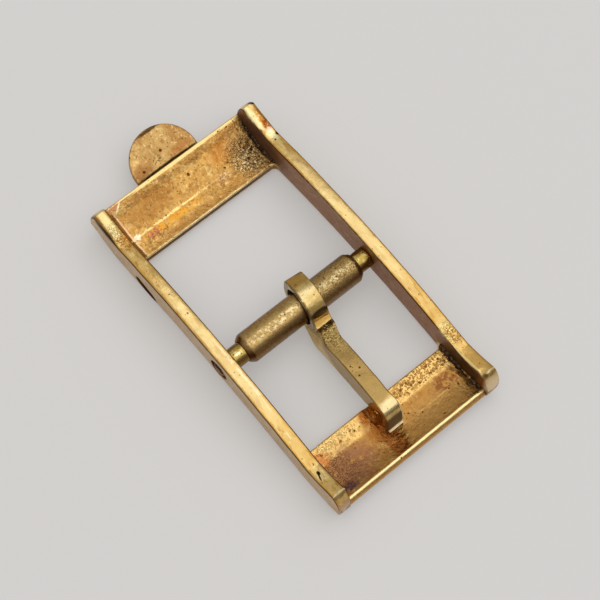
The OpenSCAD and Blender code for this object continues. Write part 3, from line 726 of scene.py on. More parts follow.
upperLook = dict(patina, mottles=upperMottles, pitPatches=upperPits, stainsAndLight=[
    # painted highlight along the rim
    stainAndLight("#f2d590", (0, 11.0, 1.7), (5.6, 0.13, 0.6), ragged=0.05, soft=0.25, amount=0.85),
    # painted shade line under the rim's highlight, at the left
    stainAndLight("#7a4c1c", (-4.0, 10.94, 1.6), (1.3, 0.035, 0.5), ragged=0.06, amount=0.8),
    stainAndLight("#b88444", (0.5, 7.9, 0.56), (4.6, 0.3, 0.3), ragged=0.5, specks=0.5, share=0.6, amount=0.55),
    stainAndLight("#5a3010", (-4.62, 9.1, 1.0), (0.1, 2.1, 1.2), turn=2.6, ragged=0.06, soft=0.3, amount=0.85),
    # painted highlight line at the left end of the window
    stainAndLight("#e6bd92", (-4.47, 9.1, 1.0), (0.06, 1.9, 1.2), turn=2.6, ragged=0.06, soft=0.3, amount=0.75),
    # painted shade line along the rim's outer edge
    stainAndLight("#5a3616", (0, 11.14, 1.6), (5.6, 0.03, 0.5), ragged=0.03, soft=0.3, amount=0.6),
    stainAndLight("#b98258", (-4.5, 10.95, 1.6), (0.5, 0.22, 0.5), specks=0.2, share=0.6, amount=0.8),
    # painted highlight along the window's edge, then painted shade on the edge's face below it
    stainAndLight("#fdebb6", (0, 7.57, 0.56), (5.2, 0.07, 0.16), ragged=0.03, soft=0.3, amount=0.9),
    stainAndLight("#3f2410", (0, 7.46, 0.36), (5.2, 0.2, 0.13), ragged=0.03, soft=0.25, square=True, amount=0.9),
    stainAndLight("#b9702a", (2.9, 10.0, 1.0), (1.0, 0.7, 0.7), ragged=0.6, amount=0.4),
    stainAndLight("#9c7a4e", (4.1, 9.0, 0.8), (1.0, 1.6, 0.9), ragged=0.5, amount=0.6),
    stainAndLight("#9c672e", (-2.6, 9.9, 1.0), (1.9, 0.8, 0.7), ragged=0.6, amount=0.5),
    stainAndLight("#e09a2c", (-1.9, 8.62, 0.56), (2.0, 0.24, 0.3),
          ragged=0.35, specks=0.4, share=0.56, amount=0.75),
    stainAndLight("#a8625a", (-3.2, 8.6, 0.56), (0.5, 0.26, 0.3), ragged=0.35, specks=0.14, amount=0.8),
    stainAndLight("#7a4420", (-3.1, 8.35, 0.56), (0.9, 0.12, 0.3), ragged=0.3, specks=0.3, amount=0.7),
    # painted highlight along the crease
    stainAndLight("#f4d68c", (-1.7, 8.93, 0.57), (2.7, 0.07, 0.3), ragged=0.16, specks=0.25, share=0.6, amount=0.9),
    # painted glint on the crease at the left
    stainAndLight("#fdf0cf", (-4.2, 8.92, 0.57), (0.22, 0.16, 0.3),
          ragged=0.3, specks=0.09, share=0.55, amount=0.85),
    stainAndLight("#ecd0a8", (2.2, 8.8, 0.56), (0.5, 0.25, 0.3), ragged=0.4, specks=0.14, share=0.44, amount=0.6),
    # painted highlight line on the folded corner at the left of the rim
    stainAndLight("#f6e2b0", (-4.15, 10.76, 1.5), (0.4, 0.045, 0.4), turn=36.0, ragged=0.03, amount=0.85),
    stainAndLight("#6a3a16", (0.47, 10.04, 1.06), (0.08, 0.1, 0.1), ragged=0.06, height=-0.02),
    stainAndLight("#54361a", (4.2, 8.9, 0.8), (0.75, 0.95, 0.7),
          ragged=0.5, specks=0.17, share=0.4, amount=0.85, height=-0.015),
    stainAndLight("#f0dca8", (3.9, 8.7, 0.7), (0.9, 0.8, 0.6), ragged=0.4, specks=0.13, share=0.42, amount=0.75),
    stainAndLight(None, (3.9, 9.0, 0.8), (1.1, 1.2, 0.8), ragged=0.45, specks=0.16, height=-0.025, rough=0.1),
    stainAndLight("#32231a", (4.98, 9.4, 1.1), (0.2, 1.9, 1.2),
          ragged=0.4, specks=0.5, share=0.72, amount=0.92, rough=0.2, dull=0.5),
])
lowerPits = [
    dict(color="#7a4818", spacing=0.22, radius=0.5, depth=0.014, share=0.45,
         at=(3.0, -7.9, 0.57), size=(2.3, 0.45, 0.4)),
    dict(color="#845420", spacing=0.2, radius=0.5, depth=0.01, share=0.25,
         at=(-3.1, -7.85, 0.57), size=(1.7, 0.35, 0.4)),
]
lowerLook = dict(patina, pitPatches=lowerPits, stainsAndLight=[
    stainAndLight("#ecc478", (0, -7.7, 0.57), (6.0, 0.72, 0.6), ragged=0.12, soft=0.08, square=True, amount=0.75),
    stainAndLight("#946430", (0, -9.95, 1.0), (6.0, 1.45, 1.6), ragged=0.12, soft=0.06, square=True, amount=0.55),
    stainAndLight("#a87f46", (2.6, -9.9, 0.7), (2.2, 0.9, 0.6), ragged=0.5, amount=0.6),
    stainAndLight("#d2aa6a", (2.6, -9.45, 0.62), (1.5, 0.03, 0.3), ragged=0.03, specks=0.4, share=0.7, amount=0.4),
    stainAndLight("#865a40", (-3.5, -9.4, 0.6), (1.6, 1.2, 0.7), ragged=0.6, specks=0.4, share=0.62, amount=0.8),
    stainAndLight("#4c3440", (-4.35, -10.35, 0.8), (0.5, 0.35, 0.4),
          ragged=0.5, specks=0.3, share=0.6, amount=0.75),
    # painted shadow and reflection of the tongue's tip on the plate
    stainAndLight("#a45e28", (-0.66, -9.4, 0.7), (0.5, 1.35, 0.9),
          ragged=0.08, soft=0.08, square=True, amount=0.75),
    # painted shade beside the tongue's tip
    stainAndLight("#8a4e1c", (-1.2, -8.6, 0.6), (0.5, 0.9, 0.5), ragged=0.5, amount=0.6),
    stainAndLight("#a2581a", (-1.0, -7.75, 0.57), (0.5, 0.5, 0.4), ragged=0.4, specks=0.3, share=0.6, amount=0.85),
    stainAndLight("#6a3420", (3.9, -8.95, 0.6), (0.9, 0.5, 0.5), ragged=0.5, amount=0.65, specks=0.25),
    stainAndLight("#a06828", (2.9, -7.8, 0.57), (2.4, 0.55, 0.4),
          ragged=0.3, specks=0.14, share=0.46, amount=0.8, height=-0.018),
    stainAndLight("#b0803c", (-3.2, -7.8, 0.57), (1.8, 0.45, 0.4),
          ragged=0.3, specks=0.15, share=0.42, amount=0.7, height=-0.012),
    stainAndLight("#fbe2a0", (-3.4, -7.6, 0.57), (1.8, 0.4, 0.4),
          ragged=0.3, specks=0.13, share=0.42, amount=0.7, height=0.02),
    stainAndLight("#b8642c", (-4.6, -8.1, 0.57), (0.5, 0.5, 0.4), ragged=0.4, specks=0.2, share=0.6, amount=0.7),
    stainAndLight(None, (-4.0, -9.4, 0.6), (1.0, 1.2, 0.6), ragged=0.4, specks=0.12, height=-0.015),
    stainAndLight("#d9a556", (0, -11.12, 0.7), (6.0, 0.1, 0.75), ragged=0.06, soft=0.2, square=True, amount=0.7),
    # painted highlight along the rim
    stainAndLight("#fbe2a2", (0, -10.84, 0.965), (6.0, 0.1, 0.055),
          ragged=0.02, soft=0.25, square=True, amount=0.9),
    stainAndLight("#32231a", (5.0, -9.1, 0.8), (0.18, 1.7, 0.6),
          ragged=0.4, specks=0.5, share=0.72, amount=0.9, rough=0.2),
])
makePlate("upper_plate", upperPlate, makeMetal("patinatedGiltUpper", upperLook))
makePlate("lower_plate", lowerPlate, makeMetal("patinatedGiltLower", lowerLook))
print("stage: end plates")


# Round tab: a thin disc soldered on the slope of the upper plate
roundTab = {"diameter": 4.4, "thick": 0.32, "reach": 0.45, "solder": 0.06, "edge": 0.08, "sides": 128}


def makeTab(material):
    piece = newPiece("round_tab_skin")
    r, thick, edge = roundTab["diameter"] / 2, roundTab["thick"], roundTab["edge"]
    profile = roundCorners([(0, 0, 0), (0, r, edge), (thick, r, edge), (thick, 0, 0)])
    turnPiece(piece, profile, material, roundTab["sides"], (0, 0, 0))
    along, under = (math.cos(slope), math.sin(slope)), (math.sin(slope), -math.cos(slope))
    middle = [end + roundTab["reach"] * a + roundTab["solder"] * u
              for end, a, u in zip((halfLength, frontZ(halfLength)), along, under)]
    # its axis X runs under the plate, and its Z along the slope
    turned = Matrix(((0, 1, 0), (under[0], 0, along[0]), (under[1], 0, along[1])))
    piece.data.transform(Matrix.Translation(place(0, *middle)) @ turned.to_4x4())
    sharpen(piece)
    fasten(piece, "frame", "patina_gold", "round_tab")


# The plates' gilding under old dust: duller and greyer, with a dark line of painted shade and dirt where it
# goes under the plate
tabLook = dict(patina, base="#b8945a", stainsAndLight=[
    stainAndLight("#7a5228", (-1.5, 11.75, 1.2), (0.6, 0.35, 0.5), ragged=0.5, amount=0.75),
    # dark line where the tab goes under the plate: painted shade in the gap, with dirt
    stainAndLight("#1c1109", (0, 11.38, 1.0), (2.4, 0.12, 0.5), ragged=0.04, amount=0.95),
    stainAndLight("#a8703c", (1.2, 11.75, 1.25), (0.9, 0.22, 0.4), ragged=0.3, specks=0.3, share=0.62, amount=0.7),
    stainAndLight("#6a4420", (-0.4, 11.9, 1.3), (0.35, 0.3, 0.4),
          ragged=0.3, specks=0.1, share=0.4, amount=0.7, height=-0.015),
    stainAndLight("#a9753f", (-1.4, 11.9, 1.3), (0.6, 0.4, 0.4), ragged=0.4, amount=0.5),
    stainAndLight("#5a2e12", (0.08, 12.17, 1.38), (0.09, 0.09, 0.1), ragged=0.08, height=-0.02),
    stainAndLight("#5a2e12", (-1.47, 11.73, 1.17), (0.07, 0.07, 0.1), ragged=0.06, height=-0.02),
    stainAndLight("#2a1d12", (0.2, 13.42, 1.97), (0.9, 0.1, 0.3), ragged=0.1, amount=0.85),
])
makeTab(makeMetal("dustyGiltTab", tabLook))
print("stage: round tab")


# Strap bar: a drawn tube with crimped ends, and a turned plunger in each end
strapBar = {
    "tubeHalf": 4.12, "tubeRadius": 0.94, "wall": 0.16, "bevel": 0.3, "crimp": 0.3, "mouth": 0.67,
    "tubeSides": 96,
    "headOut": 3.80, "headLength": 0.5, "headRadius": 0.75, "shoulderRadius": 0.64, "shoulderGap": 0.02,
    "pivotRadius": 0.45, "pivotProud": 0.04, "plungerSides": 72,
}


def makeTube(material):
    piece = newPiece("bar_tube_skin")
    b = strapBar
    end, inside = b["tubeHalf"], b["tubeHalf"] - b["crimp"]
    bevelRadius = b["mouth"] + (b["tubeRadius"] - b["mouth"]) / 4
    half = [(inside, b["tubeRadius"] - b["wall"], 0), (inside, b["mouth"], 0.02), (end, b["mouth"], 0.03),
            (end, bevelRadius, 0.04), (end - b["bevel"], b["tubeRadius"], 0.08)]
    corners = half + [(-x, r, rounding) for x, r, rounding in reversed(half)]
    turnPiece(piece, roundCorners(corners, True), material, b["tubeSides"])
    fasten(piece, "bar", "dull_brass", "bar_tube")


def makePlunger(name, side, material):
    piece = newPiece("bar_" + name + "_skin")
    b = strapBar
    headIn, headOut, face = b["headOut"] - b["headLength"], b["headOut"], innerX - b["shoulderGap"]
    end, chamfer = outerX + b["pivotProud"], b["pivotRadius"] / 4
    corners = [(headIn, 0, 0), (headIn, b["headRadius"], 0.03), (headOut, b["headRadius"], 0.03),
               (headOut, b["shoulderRadius"], 0), (face, b["shoulderRadius"], 0.06),
               (face, b["pivotRadius"], 0.02), (end - chamfer, b["pivotRadius"], 0.03),
               (end, b["pivotRadius"] - chamfer, 0.03), (end, 0, 0)]
    turnPiece(piece, roundCorners([(side * x, r, e) for x, r, e in corners]), material, b["plungerSides"])
    fasten(piece, name, "yellow_brass", "bar_" + name)


# Drawn brass that was never plated: dull olive brown, speckled, with fine pits, painted highlight specks on
# top and painted shade down both sides
tubeBrass = {
    "base": "#b29258", "rough": (0.22, 0.38), "polishSize": 0.3,
    "mottles": [("#94744a", 0.8, 0.46, 0.66, 0.55), ("#ccb27a", 0.3, 0.54, 0.7, 0.5),
                ("#6c5030", 0.14, 0.54, 0.68, 0.5), ("#e0cc96", 0.1, 0.55, 0.68, 0.5)],
    "stainsAndLight": [
        # painted shade down both sides of the tube
        stainAndLight("#6c4f34", (0, barY - 1.0, barHeight - 0.25), (6.0, 0.5, 1.1),
              ragged=0.1, soft=0.3, square=True, amount=0.7),
        stainAndLight("#644628", (0, barY + 1.02, barHeight - 0.2), (6.0, 0.34, 1.1),
              ragged=0.08, soft=0.35, square=True, amount=0.75),
        stainAndLight("#7d6040", (-4.0, barY, barHeight), (0.25, 1.3, 1.3), ragged=0.15, amount=0.5),
        stainAndLight("#7d6040", (4.0, barY, barHeight), (0.25, 1.3, 1.3), ragged=0.15, amount=0.5),
        # painted highlight specks on the top
        stainAndLight("#f6e6b4", (-1.8, barY - 0.1, 2.6), (2.2, 0.26, 0.3),
              ragged=0.3, specks=0.16, share=0.44, amount=0.6),
        stainAndLight("#f6e6b4", (2.6, barY - 0.1, 2.6), (1.5, 0.28, 0.3),
              ragged=0.3, specks=0.16, share=0.44, amount=0.6),
        stainAndLight(None, (2.3, barY, 2.5), (1.7, 0.8, 0.6), ragged=0.3, specks=0.1, height=-0.015),
    ],
    "pits": [("#4a3616", 0.22, 0.26, 0.012, 0.1), ("#5f4a2a", 0.1, 0.34, 0.006, 0.14)],
    "pitPatches": [dict(color="#4a3012", spacing=0.15, radius=0.4, depth=0.02, share=0.28,
                        at=(2.3, barY, 2.5), size=(1.6, 0.6, 0.6))],
    "grain": [(0.2, 0.01), (0.07, 0.006)],
}
# Brass turned on a lathe: yellower and shinier than the tube, with fine turning lines, a painted glint on
# top, and painted shade on its sides, by the rails and in the holes over the pivots
plungerBrass = {
    "base": "#b4984e", "rough": (0.14, 0.26), "polishSize": 0.25,
    "mottles": [("#947c38", 0.35, 0.45, 0.65, 0.6), ("#efe0a0", 0.2, 0.54, 0.7, 0.6),
                ("#6a5020", 0.12, 0.58, 0.7, 0.5)],
    "stainsAndLight": [
        # painted glint on the left shoulder's top
        stainAndLight("#fff6cc", (-4.56, barY - 0.12, 2.3), (0.2, 0.08, 0.3),
              ragged=0.12, specks=0.14, share=0.6, amount=0.8),
        # painted shade down both sides
        stainAndLight("#7a5a34", (0, barY - 0.6, barHeight), (6.0, 0.26, 0.6),
              ragged=0.12, soft=0.3, square=True, amount=0.75),
        stainAndLight("#7a5c34", (0, barY + 0.62, barHeight), (6.0, 0.3, 0.6),
              ragged=0.12, soft=0.3, square=True, amount=0.75),
        # painted shade where the shoulders meet the rails
        stainAndLight("#5a3418", (-4.97, barY, barHeight), (0.1, 1.0, 1.0), ragged=0.12, amount=0.8),
        stainAndLight("#5a3c1c", (4.97, barY, barHeight), (0.08, 1.0, 1.0), ragged=0.12, amount=0.7),
        stainAndLight("#8e6c3c", (-6.0, barY, barHeight), (0.5, 0.7, 0.7),
              ragged=0.1, amount=0.85, rough=0.3, dull=0.6),
        # painted shade in the holes above the pivots' ends
        stainAndLight("#451d0a", (-5.9, barY, barHeight + 0.34), (0.16, 0.6, 0.3),
              ragged=0.06, soft=0.2, amount=0.95, dull=0.95),
        stainAndLight("#451d0a", (5.9, barY, barHeight + 0.34), (0.16, 0.6, 0.3),
              ragged=0.06, soft=0.2, amount=0.95, dull=0.95),
        stainAndLight("#8e6c3c", (6.0, barY, barHeight), (0.5, 0.7, 0.7),
              ragged=0.1, amount=0.85, rough=0.3, dull=0.6),
    ],
    "pits": [("#3a2a12", 0.14, 0.36, 0.01, 0.24)],
    "grain": [(0.12, 0.006), (0.05, 0.003, (0.2, 1.0, 1.0))],
}
makeTube(makeMetal("dullBrassTube", tubeBrass))
plungerMetal = makeMetal("turnedYellowBrass", plungerBrass)
makePlunger("plunger_left", -1, plungerMetal)
makePlunger("plunger_right", 1, plungerMetal)

# Spring inside the tube: a coil in two halves, one from the middle towards each plunger
barSpring = {"wire": 0.2, "radius": 0.55, "half": 3.28, "turns": 4, "closedTurns": 0.6, "turnSteps": 28,
             "wireSides": 10}


def makeSpringHalf(end, side, material):
    s = barSpring
    piece = newPiece("bar_spring_" + end + "_skin")
    run, r, turns = s["half"] - s["wire"] / 2, s["wire"] / 2, s["turns"] + s["closedTurns"]
    rings = []
    for n in evenly(0, turns, int(turns * s["turnSteps"])):
        x, turn = run * min(1, n / s["turns"]), 2 * math.pi * n
        ring = [(x + r * math.sin(a), s["radius"] + r * math.cos(a))
                for a in evenly(0, 2 * math.pi, s["wireSides"])[:-1]]
        rings.append([(side * u, barY + v * math.cos(turn), barHeight + v * math.sin(turn)) for u, v in ring])
    loft(piece, rings)
    coat(piece, material)
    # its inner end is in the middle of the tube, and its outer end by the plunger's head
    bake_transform(piece)
    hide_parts("bar_spring")


# Hard-drawn steel wire: bright grey with faint brown rust, hidden in the tube
springLook = {"base": "#9a9a94", "rough": (0.25, 0.4), "polishSize": 0.5,
              "mottles": [("#6f6a60", 0.4, 0.5, 0.7, 0.5)], "grain": [(0.05, 0.002)]}
springSteel = makeMetal("drawnSpringWire", springLook)
makeSpringHalf("left", -1, springSteel)
makeSpringHalf("right", 1, springSteel)
print("stage: strap bar")


# Tongue: one strip, bent round the bar and lapped on its own thick shank, which ends in a turned-down tip
tonguePiece = {
    "loopInner": 1.15, "loopThick": 0.38, "loopWidth": 1.15, "loopX": 0.49, "loopEdge": 0.06,
    "loopCorner": 0.94, "cornerSoft": 0.04, "cornerSpan": 0.14, "loopYaw": -5.5, "loopSides": 120,
    "lapLength": 0.62, "lapHeight": 0.45, "lapStep": 0.33, "lapStart": 0.66, "lapDip": 0.47, "lapEdge": 0.05,
    "shankX": 0.08, "shankWidth": 1.08, "shankHeight": 2.68, "shankDepth": 1.18, "shankSag": 0.9,
    "spread": 0.2, "edge": 0.09, "stepLength": 1.6, "rootTurn": 20.0,
    "widenFrom": -2.6, "widenTo": -1.9, "tipFrom": 1.8, "tipTo": 0.7, "topNarrow": 0.04, "tipWiden": 0.08,
    "wave": 0.02, "acrossSize": 0.9, "upSize": 0.8,
    "tipX": -0.12, "tipIn": 1.88, "tipBend": 0.9, "foot": 0.55, "footGap": 0.04,
    "burr": 0.13, "burrTop": 0.13, "lipNarrow": 0.06,
}
stripRadius = tonguePiece["loopInner"] + tonguePiece["loopThick"] / 2
tipY = tonguePiece["tipIn"] - halfLength
lapEnd = (barY - tonguePiece["loopInner"] - tonguePiece["lapLength"], barHeight + tonguePiece["lapHeight"])
lapFoot = (lapEnd[0] - tonguePiece["lapStep"] / 3, lapEnd[1] - tonguePiece["lapStep"])


def shankCentre(y):
    t = tonguePiece
    neck = barY - t["loopInner"]
    first = t["loopX"] + (t["shankX"] - t["loopX"]) * smooth(neck + 0.2, neck - t["stepLength"], y)
    return first + (t["tipX"] - t["shankX"]) * smooth(neck - t["stepLength"], tipY, y)


def boxRing(top, bottom, topWidth, bottomWidth, edge, centre):
    # rounded four-sided section between a top point and a bottom point, each (y, z)
    tall = math.dist(top, bottom)
    corners = [(-bottomWidth / 2, 0), (bottomWidth / 2, 0), (topWidth / 2, tall), (-topWidth / 2, tall)]
    e = min(edge, tall * 0.4)
    out = []
    for k, corner in enumerate(corners):
        here, before, after = Vector(corner), Vector(corners[k - 1]), Vector(corners[(k + 1) % 4])
        a, b = here + (before - here).normalized() * e, here + (after - here).normalized() * e
        out += bend(tuple(a), tuple(here), tuple(b), 4)
        c = after + (here - after).normalized() * e
        cuts = (6, 10)[k % 2]
        out += [(b[0] + (c[0] - b[0]) * t, b[1] + (c[1] - b[1]) * t) for t in evenly(0, 1, cuts)[1:-1]]
    ring = []
    for u, v in out:
        f = v / tall
        p = (centre + u, bottom[0] + (top[0] - bottom[0]) * f, bottom[1] + (top[1] - bottom[1]) * f)
        across = wobble(p, tonguePiece["acrossSize"], tonguePiece["wave"], 3)
        up = wobble(p, tonguePiece["upSize"], tonguePiece["wave"], 5)
        ring.append((p[0] + across, p[1], p[2] + up))
    return ring


def makeShank():
    piece = newPiece("tongue_skin")
    t = tonguePiece
    footZ = frontZ(tipY) + buckle["plateThick"] + t["footGap"]
    bendY, heelY, footRound = tipY + t["tipBend"], tipY + t["foot"], t["foot"] / 3
    rootTurn = math.radians(t["rootTurn"])
    root = (barY - stripRadius * math.sin(rootTurn), barHeight - stripRadius * math.cos(rootTurn))
    belly = (heelY + t["foot"], t["shankHeight"] - t["shankDepth"])
    # its side view as two lines with as many points, one over and one under, from the loop to the tip
    over = [(barY - stripRadius + 0.1, lapFoot[1] - 0.02)]
    over += bend(lapFoot, (lapFoot[0] - (lapFoot[0] - bendY) / 4, t["shankHeight"] - t["lapStep"]),
                 (bendY, t["shankHeight"]), 60)
    over += bend((bendY, t["shankHeight"]), (tipY, t["shankHeight"] + 0.03),
                 (tipY, footZ + footRound), 24)[1:]
    under = bend(root, (root[0] + (belly[0] - root[0]) / 3, belly[1] - t["shankSag"]), belly, 61)
    under += bend(belly, (heelY, belly[1]), (heelY, footZ + 0.02), 24)[1:]
    # the tip ends in a thin turned-out burr
    over += [(tipY - t["burr"], footZ + t["burrTop"]), (tipY - t["burr"] + 0.02, footZ + 0.06)]
    under += [(heelY - 0.02, footZ + 0.01), (heelY - 0.03, footZ)]
    rings = []
    for i, (a, b) in enumerate(zip(over, under)):
        width = t["shankWidth"] + (t["loopWidth"] - t["shankWidth"]) * smooth(
            t["widenFrom"], t["widenTo"], a[0])
        tipward = smooth(tipY + t["tipFrom"], tipY + t["tipTo"], a[0])
        lip = t["lipNarrow"] if i > len(over) - 3 else 0
        rings.append(boxRing(a, b, width - t["topNarrow"] + t["tipWiden"] * tipward - lip,
                             width + t["spread"] * (1 - 1.4 * tipward) - lip, t["edge"],
                             shankCentre((a[0] + b[0]) / 2)))
    loft(piece, rings)
    return piece


def makeLap():        # the strip's end, where it lies on the shank
    lap = newPiece("lapPart")
    t = tonguePiece
    line = bend((barY - stripRadius + 0.06, barHeight + t["lapStart"]),
                (barY - t["loopInner"] - 0.34, barHeight + t["lapDip"]), lapEnd, 12)
    loft(lap, [boxRing(a, (a[0] + 0.02, lapFoot[1] - 0.25), t["loopWidth"] - 0.06, t["loopWidth"] - 0.02,
                       t["lapEdge"], shankCentre(a[0]) + 0.01) for a in line])
    return lap


def makeLoop(material):        # the strip round the bar, and the bore inside it
    t = tonguePiece
    loop, bore = newPiece("loopPart"), newPiece("borePart")
    x, half, edge = t["loopX"], t["loopWidth"] / 2, t["loopEdge"]
    inner, outer = t["loopInner"], t["loopInner"] + t["loopThick"]
    turnPiece(loop, roundCorners([(x - half, inner, edge), (x - half, outer, edge), (x + half, outer, edge),
                                  (x + half, inner, edge)], True), material, t["loopSides"])
    # the strip was squared behind the bar: upright there, then straight over to the crown
    turn = math.atan2(t["loopCorner"], outer)
    for vert in loop.data.vertices:
        out = vert.co - barAxis
        angle = math.atan2(out.z, out.y)
        if math.hypot(out.y, out.z) > (outer - edge * 1.2) * mm and 0 < angle < 2 * turn:
            stretch = 1 / math.cos(angle if angle < turn else 2 * turn - angle)
            stretch -= t["cornerSoft"] * smooth(t["cornerSpan"], 0, abs(angle - turn))
            vert.co = barAxis + Vector((out.x, out.y * stretch, out.z * stretch))
    turnPiece(bore, [(x - 1, 0), (x - 1, inner), (x + 1, inner), (x + 1, 0)], material, t["loopSides"])
    # the loop sits a little askew on the bar, in line with the shank
    knee = place(x, barY - inner / 2, barHeight)
    yaw = Matrix.Rotation(math.radians(t["loopYaw"]), 4, "Z")
    for part in (loop, bore):
        part.data.transform(Matrix.Translation(knee) @ yaw @ Matrix.Translation(-knee))
    return loop, bore


def makeTongue(material):
    piece = makeShank()
    combine(piece, makeLap(), "UNION")
    loop, bore = makeLoop(material)
    combine(piece, loop, "UNION")
    combine(piece, bore, "DIFFERENCE")
    sharpen(piece)
    coat(piece, material)
    fasten(piece, "tongue", "pale_brass", "tongue")


# Pale brass with a satin rub from the strap: straw-coloured, greyer along the shank, with painted highlights
# on the tip and the crown of the loop, and painted shade in bands under the lap, on the tip's end and on the
# shaded sides
tongueBrass = {
    "base": "#cdae6c", "rough": (0.12, 0.24), "polishSize": 0.4,
    "mottles": [("#a08048", 0.9, 0.46, 0.66, 0.5), ("#ecdaa2", 0.5, 0.54, 0.72, 0.5),
                ("#886634", 0.2, 0.56, 0.7, 0.5), ("#e2cc90", 0.12, 0.56, 0.7, 0.4)],
    "stainsAndLight": [
        stainAndLight("#9a7c48", (-0.1, -5.6, 2.2), (1.6, 2.7, 1.3), ragged=0.3, soft=0.12, amount=0.85),
        stainAndLight("#c69c50", (0.5, 0.45, 2.8), (0.9, 0.7, 0.7), amount=0.7),
        stainAndLight("#6a4014", (0.72, 0.76, 2.68), (0.7, 0.06, 0.3),
              turn=-5.5, ragged=0.04, soft=0.3, amount=0.9, dull=0.3),
        # painted highlight on the crown of the loop
        stainAndLight("#e8d6a4", (0.5, -0.65, 3.2), (0.6, 0.26, 0.3), amount=0.5),
        stainAndLight("#8a6228", (0.35, 0.1, 3.1), (0.12, 0.1, 0.2), ragged=0.12, specks=0.12, amount=0.8),
        # painted shade line along the loop's right edge
        stainAndLight("#5c3a14", (1.14, -0.7, 2.7), (0.06, 1.5, 1.0), turn=-5.5, ragged=0.05, soft=0.3, amount=0.8),
        # painted shade on the front of the loop's crown, which narrows its highlight
        stainAndLight("#a88c52", (0.5, -1.5, 3.0), (0.8, 0.26, 0.35), ragged=0.12, amount=0.7),
        stainAndLight("#6a5238", (0.0, -0.6, 2.2), (0.1, 2.2, 1.7),
              turn=-5.5, ragged=0.1, specks=0.3, share=0.6, amount=0.75, dull=0.5),
        # painted shade in the bore round the bar
        stainAndLight("#3a2614", (0.03, barY, barHeight), (0.25, 1.22, 1.22),
              ragged=0.04, soft=0.05, amount=0.9, dull=0.8),
        # painted shade on the loop's front flank
        stainAndLight("#3a2412", (0.5, -1.9, 2.6), (0.66, 0.2, 0.26), ragged=0.08, soft=0.25, amount=0.9),
        stainAndLight("#a8803c", (0.45, -2.24, 2.2), (0.8, 0.2, 0.08), ragged=0.08, amount=0.85),
        # painted shade on the step at the lap's end
        stainAndLight("#3a2412", (0.5, -2.52, 1.85), (0.66, 0.15, 0.26), ragged=0.08, soft=0.25, amount=0.9),
        stainAndLight("#ead08c", (0.4, -2.85, 1.78), (0.6, 0.2, 0.2), specks=0.16, share=0.56, amount=0.75),
        # painted highlight on the tip's top
        stainAndLight("#ecdcaa", (-0.12, -8.5, 2.66), (0.8, 0.34, 0.3), ragged=0.15, amount=0.55),
        stainAndLight("#b8a67a", (-0.3, -8.72, 2.62), (0.4, 0.07, 0.2), ragged=0.08, amount=0.7),
        # painted shade on the tip's end face
        stainAndLight("#4e3e2c", (-0.12, -9.3, 1.46), (1.2, 0.42, 0.72),
              ragged=0.05, soft=0.2, square=True, amount=0.93, rough=0.25, dull=0.8),
        # painted highlight on the burr under the tip's end
        stainAndLight("#ead2a4", (-0.12, -9.45, 0.68), (1.2, 0.34, 0.12),
              ragged=0.02, soft=0.25, square=True, amount=0.95, rough=0.1),
        # painted highlight line along the tip's right edge
        stainAndLight("#f4e2b0", (0.43, -9.2, 1.6), (0.07, 0.6, 1.2),
              ragged=0.02, soft=0.3, square=True, amount=0.9),
        # painted shade on the side face by the tip
        stainAndLight("#6e4720", (-0.8, -8.6, 1.2), (0.35, 1.1, 1.1), ragged=0.1, amount=0.7),
        stainAndLight("#4a3014", (-0.22, -5.38, 2.4), (0.055, 0.055, 0.1), ragged=0.03),
        stainAndLight("#4a3014", (0.12, -5.75, 2.43), (0.065, 0.065, 0.1), ragged=0.03),
        stainAndLight("#4a3014", (-0.19, -6.11, 2.47), (0.06, 0.06, 0.1), ragged=0.03),
        stainAndLight("#e4c67c", (0.3, -3.3, 1.98), (0.6, 0.9, 0.4),
              ragged=0.3, specks=0.13, share=0.46, amount=0.65),
        stainAndLight(None, (0.3, -3.4, 1.98), (0.7, 1.1, 0.5), ragged=0.3, specks=0.14, height=-0.012),
    ],
    "pits": [("#6f5630", 0.26, 0.26, 0.012, 0.05), ("#74592f", 0.12, 0.3, 0.006, 0.08)],
    "pitPatches": [dict(color="#6a4a20", spacing=0.17, radius=0.42, depth=0.012, share=0.3,
                        at=(0.3, -3.4, 1.98), size=(0.6, 1.0, 0.5))],
    "grain": [(0.35, 0.012), (0.1, 0.005), (0.03, 0.001, (1.0, 0.15, 1.0))],
}
makeTongue(makeMetal("satinPaleBrass", tongueBrass))
print("stage: tongue")


# Solder: lumps along the corners between plates and rails, set by a fixed seed
solderBead = {
    "spacing": 0.08, "least": 0.04, "most": 0.1, "ragged": 0.07, "raggedSize": 0.12, "seed": 5,
    "windowGap": 0.1, "endGap": 0.45, "steps": 24, "sunk": 0.01,
    # how much thicker the lumps are: by side and plate, as (part of the way from window to end, times)
    "thicker": {(1, -1): ((0.0, 2.8), (0.45, 2.5), (0.5, 0.8), (0.72, 0.8), (0.8, 3.0), (1.0, 2.5)),
                (1, 1): ((0.0, 1.6), (0.3, 2.4), (1.0, 2.2)),
                (-1, 1): ((0.0, 0.8), (1.0, 1.4)), (-1, -1): ((0.0, 1.0), (1.0, 1.0))},
}


